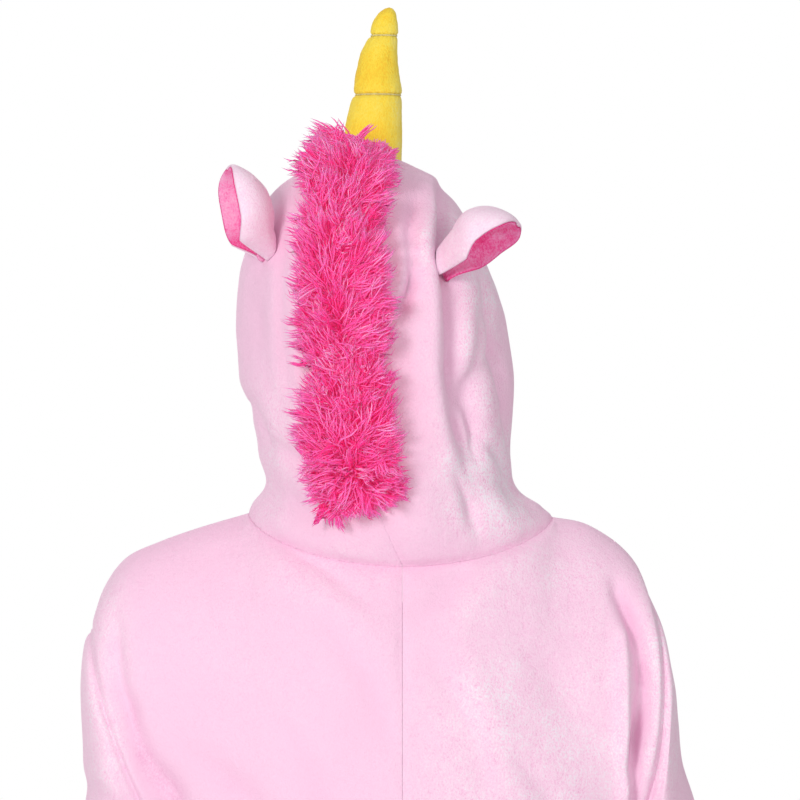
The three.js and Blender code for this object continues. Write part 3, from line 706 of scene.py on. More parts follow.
def makeClothPiece(name, points, normals, dip, frostAndPaintedLight, flipped, closed, bulge, **kept):
    outer = points - normals * dip[..., None]
    inner = points - normals * cloth["thickness"]
    piece = wallMesh(f"{name}Plush", outer, inner, [plush, knitBack], flipped, closed, bulge)
    setFrostAndPaintedLight(piece, frostAndPaintedLight)
    fineCloth[name] = dict(points=outer, normals=normals, **kept)
    return seat(piece, name)


body = dict(
    upperRows=84, lowerRows=106, columns=84, frontColumns=54, frontUpperRows=54,
    softening=62, softWidth=0.13, softHeight=0.14, swell=[(150, 2.4), (62, 1.5), (24, 0.55)],
    neckDip=dict(left=0.25, right=0.5), hemBulge=0.9,
    dips=[(1, False, 0.9, 3.8, 10), (1, True, 1.5, 4.6, 12), (0, True, 0, 5, 16)])

backCreases = dict(
    left=makeTable(creaseNames, [
        [243, -92, 232, -160, 10, -8, 0.3, -4],
        [232, -160, 196, -228, 12, -9, 0.3, -7],
        [196, -228, 190, -300, 15, -5, 0, 0],
        [118, -12, 44, -62, 11, -3.8, 0.4, 5],
        [92, -46, 20, -96, 15, 3.4, 0, 6],
        [64, -86, 14, -176, 13, -3.2, 0.3, 5],
        [-12, -28, -42, -38, 6, -3.4, 0, 2],
        [150, -110, 92, -186, 26, 3.6, 0, 10],
        [120, -150, 70, -236, 14, -3.0, 0.3, 8],
        [180, -196, 110, -258, 15, -3.8, 0.3, 6],
        [168, -250, 60, -322, 20, 4.0, 0.2, 8],
        [150, -430, 60, -500, 20.4, -9, 0.2, 8],
        [172, -470, 104, -560, 13.6, 6, 0, 6],
        [160, -790, 70, -850, 22.1, -10.5, 0.3, 9],
        [178, -860, 90, -920, 15.3, -7.5, 0.2, -6],
        [120, -1010, 70, -1060, 20.4, -9, 0.3, 6],
        [140, -1130, 60, -1180, 13.6, -6, 0, 5],
        [150, -1235, 50, -1262, 11, -6, 0.2, 5]]),
    right=makeTable(creaseNames, [
        [-184, -60, -203, -128, 8, -13, -0.35, 4],
        [-203, -128, -192, -204, 8, -14, -0.35, 5],
        [-189, -98, -189, -300, 8, 7, -0.9, 0],
        [-195, -150, -192, -236, 4.5, -8, 0.2, 2],
        [-192, -236, -186, -300, 7, -6, 0, 0],
        [-214, -100, -212, -210, 9, 3, 0, -3],
        [-52, -30, -12, -74, 10, -3.4, 0.3, 4],
        [-118, -22, -58, -70, 14, 3.2, 0, -5],
        [-26, -120, -66, -226, 14, -3.2, 0.3, 8],
        [-56, -110, -104, -226, 16, 3.4, 0, -6],
        [-84, -190, -130, -262, 13, -3.6, 0.3, 6],
        [-100, -96, -152, -180, 17, -3.2, 0, 5],
        [-168, -262, -70, -336, 20, -3.6, 0.3, -8],
        [-156, -414, -64, -492, 19, -9, 0.2, -8],
        [-174, -500, -96, -590, 14.4, 6, 0, -5],
        [-160, -736, -66, -806, 20, -10, 0.2, -9],
        [-180, -884, -92, -934, 15.3, -7.5, 0.2, 6],
        [-130, -984, -72, -1046, 18, -8, 0.3, -5],
        [-144, -1110, -58, -1168, 12.8, -6, 0, 5],
        [-148, -1228, -52, -1258, 11, -6, 0.2, -5]]))
frontCreases = dict(
    left=makeTable(creaseNames, [
        [225, -110, 205, -220, 11, -12, 0.3, -5],
        [205, -220, 190, -296, 11.9, -9, 0.2, -3],
        [150, -60, 60, -150, 20, -3, 0.2, 8],
        [165, -250, 50, -320, 17, -6, 0.2, 8],
        [150, -400, 60, -470, 17.3, -13.5, 0.3, 8],
        [170, -540, 80, -600, 14.4, 9, 0, -7],
        [150, -760, 60, -820, 18.8, -13.5, 0.3, 8],
        [170, -846, 86, -900, 12.2, -11.2, 0.2, 5],
        [150, -990, 60, -1040, 14.4, -11.2, 0.2, 6],
        [140, -1130, 60, -1175, 11.6, -9, 0.2, -5],
        [150, -1236, 50, -1266, 9.3, -9, 0.2, 5]]),
    right=makeTable(creaseNames, [
        [-190, -90, -188, -210, 11, -13.5, -0.3, 4],
        [-188, -210, -182, -296, 11.9, -9, -0.2, 3],
        [-140, -66, -70, -160, 17, -4.5, 0.2, -7],
        [-160, -240, -56, -316, 17, -6, 0.2, -8],
        [-158, -368, -70, -446, 17.3, -12.5, 0.2, -8],
        [-172, -500, -92, -584, 14.4, 7, 0, 6],
        [-150, -722, -66, -782, 17, -12, 0.2, -8],
        [-174, -884, -90, -926, 14, -10, 0.2, -5],
        [-140, -948, -74, -1014, 13, -8.5, 0.2, -6],
        [-144, -1076, -64, -1146, 12.6, -9, 0.2, 5],
        [-150, -1232, -52, -1262, 9.3, -9, 0.2, -5]]))


# Below the neck point the cloth rounds off instead of keeping the corner of the seam.
def softenShoulder(points, u, v):
    soft = points.copy()
    for _ in range(body["softening"]):
        soft[:, 1:-1] = (soft[:, :-2] + 2 * soft[:, 1:-1] + soft[:, 2:]) / 4
    besideNeck = np.exp(-((u - shape["neckShare"]) / body["softWidth"]) ** 2)
    near = besideNeck[None] * smooth(v, 0, body["softHeight"])[:, None]
    return points + (soft - points) * near[..., None]


def makeBodyPanel(name, side, face):
    sign = sides[side]
    u = places(body["columns"] if face > 0 else body["frontColumns"])
    v = places(body["upperRows"] if face > 0 else body["frontUpperRows"])
    lastLevel = len(levels["outer"]) - 1
    lower = np.linspace(0, lastLevel, body["lowerRows"] + 1)[1:]
    gridU, gridV = np.meshgrid(u, v)
    upper = softenShoulder(upperPoint(side, face, gridU, gridV), u, v)
    gridU, gridL = np.meshgrid(u, lower)
    level = readTable(levels, gridL)
    underarm = sleeves[side]["innerX"][0]
    level["outer"] = level["outer"] + (underarm - levels["outer"][0]) * np.clip(1 - gridL, 0, 1)
    points = np.concatenate((upper, levelPoint(side, face, level, gridU)))
    place = np.concatenate((np.zeros(len(v)), lower))
    flipped = sign * face > 0
    normals = (-1 if flipped else 1) * gridNormals(points)
    creases = (backCreases if face > 0 else frontCreases)[side]
    dips = [(0, False, body["neckDip"][side], 3.2, 14)] + body["dips"]
    points, normals, relief, dip = finishCloth(
        points, normals, False, creases, body["swell"], dips, 3 + sign + face, flipped)

    # Borders end half a gap from the seam, and their walls stand in the seam's own plane.
    half = cloth["seamGap"] / 2
    upperCount = len(v)
    neck = u <= shape["neckShare"]
    normals[0, neck] = neckNormal(side, face, u[neck] / shape["neckShare"])
    normals[:upperCount, -1] = armholeNormal(side, face * v * math.pi)
    centre = place <= crotchLevel
    normals[centre, 0, 0] = 0
    points[centre, 0, 0] = sign * half
    points[~centre, 0, 0] = sign * np.maximum(half, abs(points[~centre, 0, 0]))
    normals[~centre, 0, 1] = 0
    points[~centre, 0, 1] = face * half
    normals[upperCount - 1:, -1, 1] = 0
    points[upperCount - 1:, -1, 1] = face * half
    shoulder = u >= shape["neckShare"]
    normals[0, shoulder, 1] = 0
    points[0, shoulder, 1] = face * half
    normals = unit(normals)

    hem = np.zeros(points.shape[:2])
    hem[-1] = body["hemBulge"]
    frostAndPaintedLight = frostAndPaintedShadingOf(points, relief, face)
    return makeClothPiece(name, points, normals, dip, frostAndPaintedLight, flipped, False, hem, u=u, place=place)


# Painted light: the pile is made whiter on ridges and darker in creases and folds, following the relief.
# It is whitest in patches where it has been rubbed and stands up.
frostAndShadingSettings = dict(
    ground=0.3, front=0.04, paintedShadingGain=0.016, lowest=-8, highest=6,
    drift=[(34, 61, 0.5), (15, 62, 0.35)], driftRange=(0.3, 1.6))
frostPatches = makeTable("x z halfWidth halfHeight amount", [
    [-78, 38, 52, 56, 0.42],
    [-66, 160, 26, 90, 0.3],
    [-36, 236, 22, 36, 0.3],
    [-120, -60, 80, 60, 0.16],
    [-110, -190, 100, 120, 0.22],
    [-222, -120, 30, 130, 0.26],
    [116, 60, 26, 70, 0.2],
    [250, -160, 22, 160, 0.2],
    [60, -40, 60, 26, 0.1],
    [40, -640, 120, 120, 0.16],
    [-90, -960, 60, 140, 0.14]])


def frostAndPaintedShadingOf(points, relief, face):
    # painted shade in the troughs and painted highlight on the ridges of the relief
    amount = frostAndShadingSettings["ground"] + frostAndShadingSettings["paintedShadingGain"] * np.clip(
        relief, frostAndShadingSettings["lowest"], frostAndShadingSettings["highest"])
    if face < 0:
        return amount + frostAndShadingSettings["front"]
    worn = 0
    for n in range(len(frostPatches["x"])):
        patch = {name: column[n] for name, column in frostPatches.items()}
        awayX = (points[..., 0] - patch["x"]) / patch["halfWidth"]
        awayZ = (points[..., 2] - patch["z"]) / patch["halfHeight"]
        worn = np.maximum(worn, patch["amount"] * np.exp(-(awayX ** 2 + awayZ ** 2) ** 2))
    drift = sum(gain * unevenness(points, wavelength, seed)
                for wavelength, seed, gain in frostAndShadingSettings["drift"])
    return amount + worn * np.clip(1 + drift, *frostAndShadingSettings["driftRange"])


for faceName, face in (("back", 1), ("front", -1)):
    for side in sides:
        panel = makeBodyPanel(f"{faceName}_{side}", side, face)
print("body panels made")


sleeveSettings = dict(
    rows=106, around=88, hemBulge=0.9, rounding=26, roundStart=0.3, roundEnd=0.6,
    swell=[(90, 2.2), (38, 1.3)], dips=[(0, False, 1.7, 4.5, 12), (0, True, 0, 5, 16)])
sleeveCreases = dict(
    left=makeTable(creaseNames, [
        [262, -150, 214, -196, 15, 2.6, 0, 4],
        [270, -228, 206, -270, 11.9, -5.6, 0.3, 5],
        [206, -318, 268, -352, 11, -7.2, 0.3, 5],
        [270, -372, 204, -404, 11, 5.8, 0, -5],
        [204, -424, 268, -452, 10.2, -6.4, 0.3, 5],
        [272, -500, 210, -522, 11.9, -5.6, 0.2, 4],
        [212, -566, 268, -592, 10.2, -5.1, 0.2, -4]]),
    right=makeTable(creaseNames, [
        [-212, -110, -204, -220, 11, 3.2, 0, -4],
        [-236, -170, -226, -262, 14, -3.4, 0.3, 4],
        [-204, -312, -262, -350, 11, -7.4, 0.3, -5],
        [-262, -368, -206, -398, 11, 5.8, 0, 5],
        [-208, -420, -270, -452, 10.2, -6.4, 0.3, -5],
        [-280, -498, -214, -526, 11.9, -5.6, 0.2, -4],
        [-220, -570, -276, -598, 10.2, -5.1, 0.2, 4]]))


# Where the sleeve turns away from the armhole its edge is rounded.
def roundedRings(points, share):
    soft = points.copy()
    for _ in range(sleeveSettings["rounding"]):
        soft[1:-1] = (soft[:-2] + 2 * soft[1:-1] + soft[2:]) / 4
        soft[1:] = (np.roll(soft, 1, axis=1) + 4 * soft + np.roll(soft, -1, axis=1))[1:] / 6
    amount = 1 - smooth(share, sleeveSettings["roundStart"], sleeveSettings["roundEnd"])
    return points + (soft - points) * amount[:, None, None]


def makeSleeve(name, side):
    sign = sides[side]
    around = sleeveSettings["around"]
    lastPlace = len(sleeves[side]["depth"]) - 1
    share = places(sleeveSettings["rows"])
    angle, place = np.meshgrid(np.arange(around) / around * 2 * math.pi, share * lastPlace)
    points = roundedRings(sleevePoint(side, place, angle), share)
    flipped = sign < 0
    normals = (-1 if flipped else 1) * gridNormals(points, True)
    points, normals, relief, dip = finishCloth(
        points, normals, True, sleeveCreases[side], sleeveSettings["swell"], sleeveSettings["dips"],
        11 + sign, flipped)
    normals[0] = armholeNormal(side, angle[0])
    points[0, :, 0] += sign * cloth["seamGap"]
    hem = np.zeros(points.shape[:2])
    hem[-1] = sleeveSettings["hemBulge"]
    frostAndPaintedLight = frostAndPaintedShadingOf(points, relief, 1)
    return makeClothPiece(name, points, normals, dip, frostAndPaintedLight, flipped, True, hem)


for side in sides:
    sleeve = makeSleeve(f"sleeve_{side}", side)
print("sleeves made")


hood = dict(
    rows=128, columnsBack=78, columnsFront=38, middle=(33, 0, 120), swell=[(95, 2.4), (44, 1.5), (20, 0.6)],
    seed=21, calmSeam=12, calmCrown=10, calmNeck=11, puff=0.3, seamDip=1.2,
    neckDip=dict(left=0.4, right=0.8), dipWidth=3.6, edgeBulge=1.0, edgeRoll=2.4, edgeGroove=0.8,
    groovePlace=24, stitchedFrom=0.08, stitchedTo=0.76)
hoodCreases = dict(
    left=makeTable(creaseNames, [
        [134, 104, 116, 68, 8, -8.5, -0.3, 3],
        [116, 68, 88, 48, 7, -5, 0.2, 2],
        [124, 104, 100, 74, 15, 4.4, 0, 0],
        [96, 30, 62, 18, 11, 3, 0, 4],
        [101, 232, 97, 110, 6.5, -3.6, 0.2, -4],
        [108, 200, 92, 84, 9, 3.2, 0, -3],
        [90, 214, 86, 70, 8, 2.2, 0, 3],
        [124, 236, 122, 150, 13, -2.8, 0, 4],
        [118, 32, 74, -6, 11, -3.6, 0.2, 5],
        [70, 40, 96, 90, 9, -3.0, 0.2, 4]]),
    right=makeTable(creaseNames, [
        [-24, 278, -14, 232, 11, 7, 0.2, 3],
        [-14, 232, -22, 130, 13, 8, 0.25, 3],
        [-22, 130, -50, 30, 14, 7, 0.2, -4],
        [-35, 276, -37, 214, 6.5, -14, -0.4, 1],
        [-37, 214, -44, 120, 8.5, -10, -0.3, 2],
        [-44, 120, -64, 22, 10, -7.5, -0.2, -4],
        [-9, 262, -3, 218, 6, -6, 0.3, -1],
        [-6, 214, -2, 184, 5.5, -11, 0.4, 2],
        [-2, 184, 9, 173, 5, -10, 0, 1],
        [0, 232, -3, 196, 8, 6, 0, 1],
        [-66, 170, -54, 110, 7, -7.5, 0.3, 3],
        [-54, 110, -60, 66, 7.5, -5.5, 0.2, 1],
        [-82, 152, -58, 104, 7.5, -5.6, -0.2, 2],
        [-72, 134, -76, 56, 11, 5, 0, 2],
        [-58, 190, -60, 120, 9, 3.4, 0, 0],
        [-94, 196, -80, 86, 9, -5, 0, -5],
        [-45, 36, -60, -6, 6.5, -6, 0.3, 2],
        [-58, 48, -88, 0, 12, 4.4, 0, 3],
        [-68, 198, -80, 146, 4.5, -6.4, 0.4, 1],
        [-80, 146, -88, 90, 4.5, -7, 0.4, 1],
        [-88, 90, -92, 60, 4.5, -5.6, 0.3, 0],
        [-44, 84, -54, 60, 4.5, -5.5, 0.3, 1],
        [-60, 88, -63, 56, 4, -5, -0.2, 1],
        [-52, 84, -58, 66, 7, 3, 0, 0],
        [-68, 66, -88, 38, 5, -4, 0.3, 2],
        [-74, 32, -114, 8, 9, -4.4, 0.2, 3]]))


def makeHoodPanel(name, side):
    sign = sides[side]
    share = places(hood["rows"])
    q = np.unique(np.concatenate((places(hood["columnsBack"]), 1 + places(hood["columnsFront"]))).round(9))
    gridQ, gridP = np.meshgrid(q, share * crownRow)

    def fromNeckSeam(look):
        return np.where((q <= 1)[:, None], look(side, 1, np.clip(q, 0, 1)),
                        look(side, -1, np.clip(2 - q, 0, 1)))

    points = hoodPoint(side, gridP, gridQ)
    toNeck = np.clip(1 - gridP, 0, 1) ** 2
    points = points + (fromNeckSeam(neckPoint) - points[0])[None] * toNeck[..., None]
    flipped = sign < 0
    turn = -1 if flipped else 1
    normals = turn * gridNormals(points)
    onBack = smooth(-gridQ, -1.35, -0.95)
    relief = creaseHeight(hoodCreases[side], points[..., 0], points[..., 2]) * onBack
    for wavelength, height in hood["swell"]:
        relief += height * unevenness(points, wavelength, hood["seed"] + sign)
    toSeam = fromBorder(points, 1, False)
    toCrown = fromBorder(points, 0, True)
    toNeckSeam = fromBorder(points, 0, False)
    toFace = fromBorder(points, 1, True)
    relief *= smooth(toSeam, 0, hood["calmSeam"]) * smooth(toCrown, 0, hood["calmCrown"]) \
        * smooth(toNeckSeam, 0, hood["calmNeck"])
    # the hood puffs out above its seam at the nape
    onNape = np.exp(-((gridQ / 0.7) ** 4))
    relief += hood["puff"] * np.exp(-((toNeckSeam - 13) / 9) ** 2) * onNape
    points = points + normals * relief[..., None]
    normals = turn * gridNormals(points)
    opening = np.minimum(readTable(hoodRows, share * crownRow)["opening"], 180)
    sewnFront = (opening > 179.5) | (share == 0)

    def seamDip(distance):
        return np.exp(-(distance / hood["dipWidth"]) ** 2)

    dip = hood["seamDip"] * seamDip(toSeam) + hood["seamDip"] * seamDip(toCrown)
    dip += hood["neckDip"][side] * seamDip(toNeckSeam)
    dip += np.where(sewnFront[:, None], hood["seamDip"], 0.0) * seamDip(toFace)
    # the free edge round the face is rolled, with its seam as a groove beside it
    faceEdge = np.where(sewnFront[:, None], 0.0, hood["edgeRoll"])
    dip -= faceEdge * np.exp(-((toFace - 8) / 7) ** 2)
    dip += faceEdge * hood["edgeGroove"] * np.exp(-((toFace - hood["groovePlace"]) / 4) ** 2)

    half = cloth["seamGap"] / 2
    edgeNormals = fromNeckSeam(neckNormal)
    normals[0] = edgeNormals
    level = np.hypot(edgeNormals[:, 0], edgeNormals[:, 1])
    slope = edgeNormals[:, 2] / level
    points[0] += stack(-edgeNormals[:, 0] * slope, -edgeNormals[:, 1] * slope, level) * cloth["seamGap"]
    for border in ((slice(None), 0), (-1, slice(None)), (sewnFront, -1)):
        normals[border + (0,)] = 0
        points[border + (0,)] += sign * half
    normals = unit(normals)
    bulge = np.zeros(points.shape[:2])
    bulge[~sewnFront, -1] = hood["edgeBulge"]
    frostAndPaintedLight = frostAndPaintedShadingOf(points, relief, 1)
    return makeClothPiece(name, points, normals, dip, frostAndPaintedLight, flipped, False, bulge, share=share)


for side in sides:
    hoodHalf = makeHoodPanel(f"hood_{side}", side)
print("hood made")


# The hood's outside as one tree that pieces are seated on.
def hoodTree():
    vertices, quads = [], []
    for side in sides:
        grid = fineCloth[f"hood_{side}"]["points"]
        quads += (gridQuads(*grid.shape[:2]) + len(vertices)).tolist()
        vertices += grid.reshape(-1, 3).tolist()
    return BVHTree.FromPolygons(vertices, quads)


hoodSurface = hoodTree()


# Points that fall through the hood's cloth are lifted back onto it.
def liftOffHood(points, clearance):
    inside = Vector(hood["middle"])
    out = points.copy()
    for k in np.ndindex(points.shape[:-1]):
        here = Vector(points[k])
        near, normal = hoodSurface.find_nearest(here)[:2]
        if normal.dot(near - inside) < 0:
            normal = -normal
        if (here - near).dot(normal) < clearance[k]:
            out[k] = near + normal * clearance[k]
    return out


def seatOnHood(start, way, clearance):
    way = Vector(way).normalized()
    hit = hoodSurface.ray_cast(Vector(start), way)[0]
    if hit is None:  # the line fell into the gap of the seam
        hit = hoodSurface.ray_cast(Vector(start) + Vector((0.7, 0, 0)), way)[0]
    if hit is None:
        hit = hoodSurface.find_nearest(Vector(start))[0]
    return np.array(hit - way * clearance)


# The mane is a knitted strip along the hood's seam, with tufts of yarn on it.
mane = dict(
    firstPlace=2.35, crownReach=0.82, stripHalfWidth=20, stripThickness=3.2, seed=41,
    tufts=1120, strandsPerTuft=12, rings=5, rootRadius=0.8, tipRadius=0.5,
    length=32, lengthSpread=0.2, pileDepth=13, clumping=0.5, backLimit=156, backPress=0.5,
    footSpread=0.42, footShift=10, hornLimit=325, hornPress=0.85, seamSteps=90, crownSteps=40,
    stripRows=120, stripColumns=17, castFrom=60, stripLift=0.6, stripTone=0.02, rootSink=0.4,
    shortest=18, longest=46, hoodClearance=1.5)
# Which way the pile lies: shares of the directions at a tuft, how far strands stray, how they
# leave the cloth (start) and bend over (end), and how they curl.
pile = dict(
    fan=0.72, tilt=0.2, crownTilt=0.4, swirl=1.6, climb=0.75, footFall=1.25, crownFall=0.3,
    climbSwirl=1.2, stray=0.4, lift=0.95, liftSpread=0.3, rootFan=0.7, rootTilt=0.25, rootFall=0.3,
    rootSpread=1.5, startStray=0.16, endPress=0.1, endStray=0.2, curl=0.2, curlTurns=5.6,
    curlReach=0.6, startReach=0.62, startFade=0.55, endReach=0.86, endPower=1.35)


# The seam from the nape up and over the crown: points with directions along, across and away.
def seamPath():
    up = np.linspace(mane["firstPlace"], crownRow, mane["seamSteps"])
    points = hoodPoint("left", up, np.zeros_like(up))
    over = np.linspace(0, mane["crownReach"], mane["crownSteps"])[1:]
    points = np.concatenate((points, hoodPoint("left", np.full_like(over, crownRow), over)))
    along = unit(np.gradient(points, axis=0))
    sideways = unit(np.array([1.0, 0, 0]) - along * along[:, :1])
    away = unit(np.cross(along, sideways))
    distance = lengthAlong(points)
    return dict(points=points, along=along, sideways=sideways, away=away, share=distance / distance[-1])


seamLine = seamPath()


def onSeam(share):
    return [readLine(share, seamLine["share"], seamLine[name])
            for name in ("points", "along", "sideways", "away")]


def makeManeStrip():
    centre, _, sideways, away = onSeam(np.linspace(0, 1, mane["stripRows"]))
    offsets = np.linspace(-1, 1, mane["stripColumns"]) * mane["stripHalfWidth"]
    grid = np.zeros((len(centre), len(offsets), 3))
    for j in range(len(centre)):
        for i, offset in enumerate(offsets):
            start = centre[j] + sideways[j] * offset + away[j] * mane["castFrom"]
            grid[j, i] = seatOnHood(start, -away[j], mane["stripLift"])
    normals = np.repeat(away[:, None], len(offsets), axis=1)
    rise = mane["stripThickness"] * (1 - 0.5 * (offsets / mane["stripHalfWidth"]) ** 4)
    piece = wallMesh("maneStrip", grid + normals * rise[None, :, None], grid, [yarn])
    if np.sum(piece.data.polygons[0].normal * Vector(away[0])) < 0:
        piece.data.flip_normals()
    setAttribute(piece, "tone", np.full(len(piece.data.vertices), mane["stripTone"]))
    return seat(piece, "mane")


# Strands of three sides, each closed flat at its root and pointed at its tip.
def strandMesh(name, side, spine, radii, tones):
    count, rings = spine.shape[:2]
    tangent = unit(np.gradient(spine, axis=1))
    first = unit(np.cross(tangent, side[:, None] + 0.01))
    second = np.cross(tangent, first)
    angle = np.arange(3) * 2 * math.pi / 3
    ring = first[:, :-1, None] * np.cos(angle)[:, None] + second[:, :-1, None] * np.sin(angle)[:, None]
    ring = spine[:, :-1, None] + ring * radii[:, :-1, None, None]
    points = np.concatenate((ring.reshape(count, -1, 3), spine[:, -1:]), axis=1)
    tip = (rings - 2) * 3
    triangles = np.array([(tip + n, tip + (n + 1) % 3, tip + 3) for n in range(3)] + [(2, 1, 0)])
    base = (np.arange(count) * points.shape[1])[:, None, None]
    quads = (gridQuads(rings - 1, 3, True)[:, [0, 3, 2, 1]] + base).reshape(-1, 4)
    piece = meshObject(name, points.reshape(-1, 3), [quads, (triangles + base).reshape(-1, 3)], [yarn])
    tones = np.concatenate((np.repeat(tones[:, :-1], 3, axis=1), tones[:, -1:]), axis=1)
    setAttribute(piece, "tone", tones)
    return piece


def makeMane():
    chance = np.random.default_rng(mane["seed"])
    tufts = mane["tufts"]
    # tufts stand in staggered rows, each a little off its place
    share = (np.arange(tufts) + chance.uniform(0, 1, tufts)) / tufts
    lane = ((np.arange(tufts) * 0.618034) % 1) * 2 - 1 + chance.normal(0, 0.04, tufts)
    lane = np.clip(lane, -1, 1)
    centre, along, sideways, away = onSeam(share)
    # at its foot the mane is wider and falls over to the wearer's left
    foot = 1 - smooth(share, 0.02, 0.3)
    across = lane * mane["stripHalfWidth"] * (1 + mane["footSpread"] * foot)
    across = across + mane["footShift"] * foot
    above = centre + sideways * across[:, None] + away * mane["castFrom"]
    seats = np.array([seatOnHood(above[k], -away[k], -mane["rootSink"]) for k in range(tufts)])
    low = 1 - smooth(share, 0.0, 0.16)
    high = smooth(share, 0.62, 0.9)

    def swirlOf(acrossScale, shift, alongScale, seed):
        return np.array([noise.noise(Vector((x * acrossScale + shift, z * alongScale, seed)))
                         for x, z in zip(lane, share)])

    swirl = swirlOf(1.3, 0, 11, 4.2)
    lengthSwirl = swirlOf(1.6, 9, 13, 8.1)
    # the pile fans out to both sides, leans up over most of the strip and falls at its lower end
    flow = sideways * (
        pile["fan"] * lane - pile["tilt"] * (1 - low - high) + pile["crownTilt"] * high
        + pile["swirl"] * swirl)[:, None]
    flow += along * (
        pile["climb"] - pile["footFall"] * low - pile["crownFall"] * high
        + pile["climbSwirl"] * lengthSwirl)[:, None]
    flow += pile["stray"] * chance.normal(0, 1, (tufts, 3))
    flow = unit(flow)
    lift = pile["lift"] + pile["liftSpread"] * chance.normal(0, 1, tufts)
    rise = away + sideways * (pile["rootFan"] * lane + pile["rootTilt"] * high)[:, None]
    rise = unit(rise + along * (-pile["rootFall"] * low)[:, None])

    strands = mane["strandsPerTuft"]
    total = tufts * strands

    def spread(values):
        return np.repeat(values, strands, axis=0)

    beforeHorn = smooth(share, 0.76, 0.9) * smooth(-lane, -0.5, 0.4)
    depth = mane["pileDepth"] * (1 - 0.75 * beforeHorn)
    root = spread(seats) + spread(sideways) * chance.normal(0, pile["rootSpread"], (total, 1)) \
        + spread(along) * chance.normal(0, pile["rootSpread"], (total, 1)) \
        + spread(away) * spread(depth)[:, None] * chance.uniform(0, 1, (total, 1))
    start = unit(spread(rise) + pile["startStray"] * chance.normal(0, 1, (total, 3)))
    end = unit(spread(flow) - spread(away) * pile["endPress"]
               + pile["endStray"] * chance.normal(0, 1, (total, 3)))
    length = mane["length"] * (1 + mane["lengthSpread"] * chance.normal(0, 1, total))
    # shorter at the foot, along the edges and in front of the horn
    lastTufts = 1 - smooth(share, 0, 0.05)
    kept = 1 - 0.24 * low - 0.16 * lastTufts - 0.12 * lane ** 4 - 0.5 * beforeHorn
    length = np.clip(length, mane["shortest"], mane["longest"]) * spread(kept)
    lifts = np.clip(spread(lift), 0.3, 1.6)
    t = np.linspace(0, 1, mane["rings"] + 1)[None, :, None]
    curl = unit(np.cross(end, start + 0.01)) * chance.normal(0, pile["curl"], (total, 1))
    reach = length[:, None, None]
    spine = root[:, None] \
        + start[:, None] * reach * (t - pile["startFade"] * t ** 2) * pile["startReach"] \
        * lifts[:, None, None] \
        + end[:, None] * reach * (pile["endReach"] * t ** pile["endPower"]) \
        + curl[:, None] * reach * np.sin(t * pile["curlTurns"]) * pile["curlReach"]
    # the strands of a tuft draw together towards their tips
    tufted = spine.reshape(tufts, strands, *spine.shape[1:])
    drawn = (tufted.mean(axis=1, keepdims=True) - tufted) * mane["clumping"] * t
    spine = (tufted + drawn).reshape(spine.shape)
    past = np.maximum(spine[..., 1] - mane["backLimit"], 0)
    spine[..., 1] -= past * mane["backPress"]
    over = np.maximum(spine[..., 2] - mane["hornLimit"], 0)
    spine[..., 2] -= over * mane["hornPress"] * spread(smooth(beforeHorn, 0, 0.4))[:, None]
    shareAlong = t[..., 0]
    clearance = np.broadcast_to(mane["hoodClearance"] * shareAlong[:, 1:], (total, mane["rings"]))
    spine[:, 1:] = liftOffHood(spine[:, 1:], clearance)
    width = chance.uniform(0.75, 1.25, (total, 1))
    radii = blend(mane["rootRadius"], mane["tipRadius"], shareAlong ** 1.7) * width
    tone = spread(0.46 + 0.17 * chance.normal(0, 1, tufts))[:, None] \
        + 0.13 * chance.normal(0, 1, (total, 1)) + 0.4 * (shareAlong - 0.5)
    tone = np.clip(tone, 0, 1)
    half = total // 2
    for name, part in (("maneLower", slice(0, half)), ("maneUpper", slice(half, total))):
        piece = strandMesh(name, spread(sideways)[part], spine[part], radii[part], tone[part])
        seat(piece, "mane")


makeManeStrip()
makeMane()
print("mane made")


hornRings = makeTable("z x y radius", [
    [312, 26, -68, 25.5],
    [330, 25.4, -71, 25.2],
    [347, 24, -74, 23.6],
    [361.5, 22.2, -77, 21.6],
    [365.5, 21, -78, 19.2],
    [369.5, 21.3, -79, 21],
    [384, 21.6, -82, 18.9],
    [401, 20.4, -85, 16.2],
    [413.5, 17.4, -87, 13.2],
    [417.5, 15.9, -88, 10.8],
    [421.2, 15.6, -89, 12.2],
    [430, 14.8, -91, 10.6],
    [437, 13.2, -92, 7.8],
    [441.5, 11.8, -93, 3.6]])
horn = dict(
    rows=130, around=84, puckers=17, puckerDepth=0.5, puckerReach=0.9, footFade=1.6,
    tipOffset=(-0.4, -0.2, 1.2), bottomRise=3.0)
hornThreads = [
    dict(name="horn_thread_lower", ring=4, radius=18.9),
    dict(name="horn_thread_upper", ring=9, radius=10.5)]
twist = dict(steps=240, turns=46, ply=0.36, strandRadius=0.42, clearance=0.5)


def aroundAxis(ring, radius, angle, rise=0):
    return stack(ring["x"] + radius * np.cos(angle), ring["y"] + radius * np.sin(angle), ring["z"] + rise)


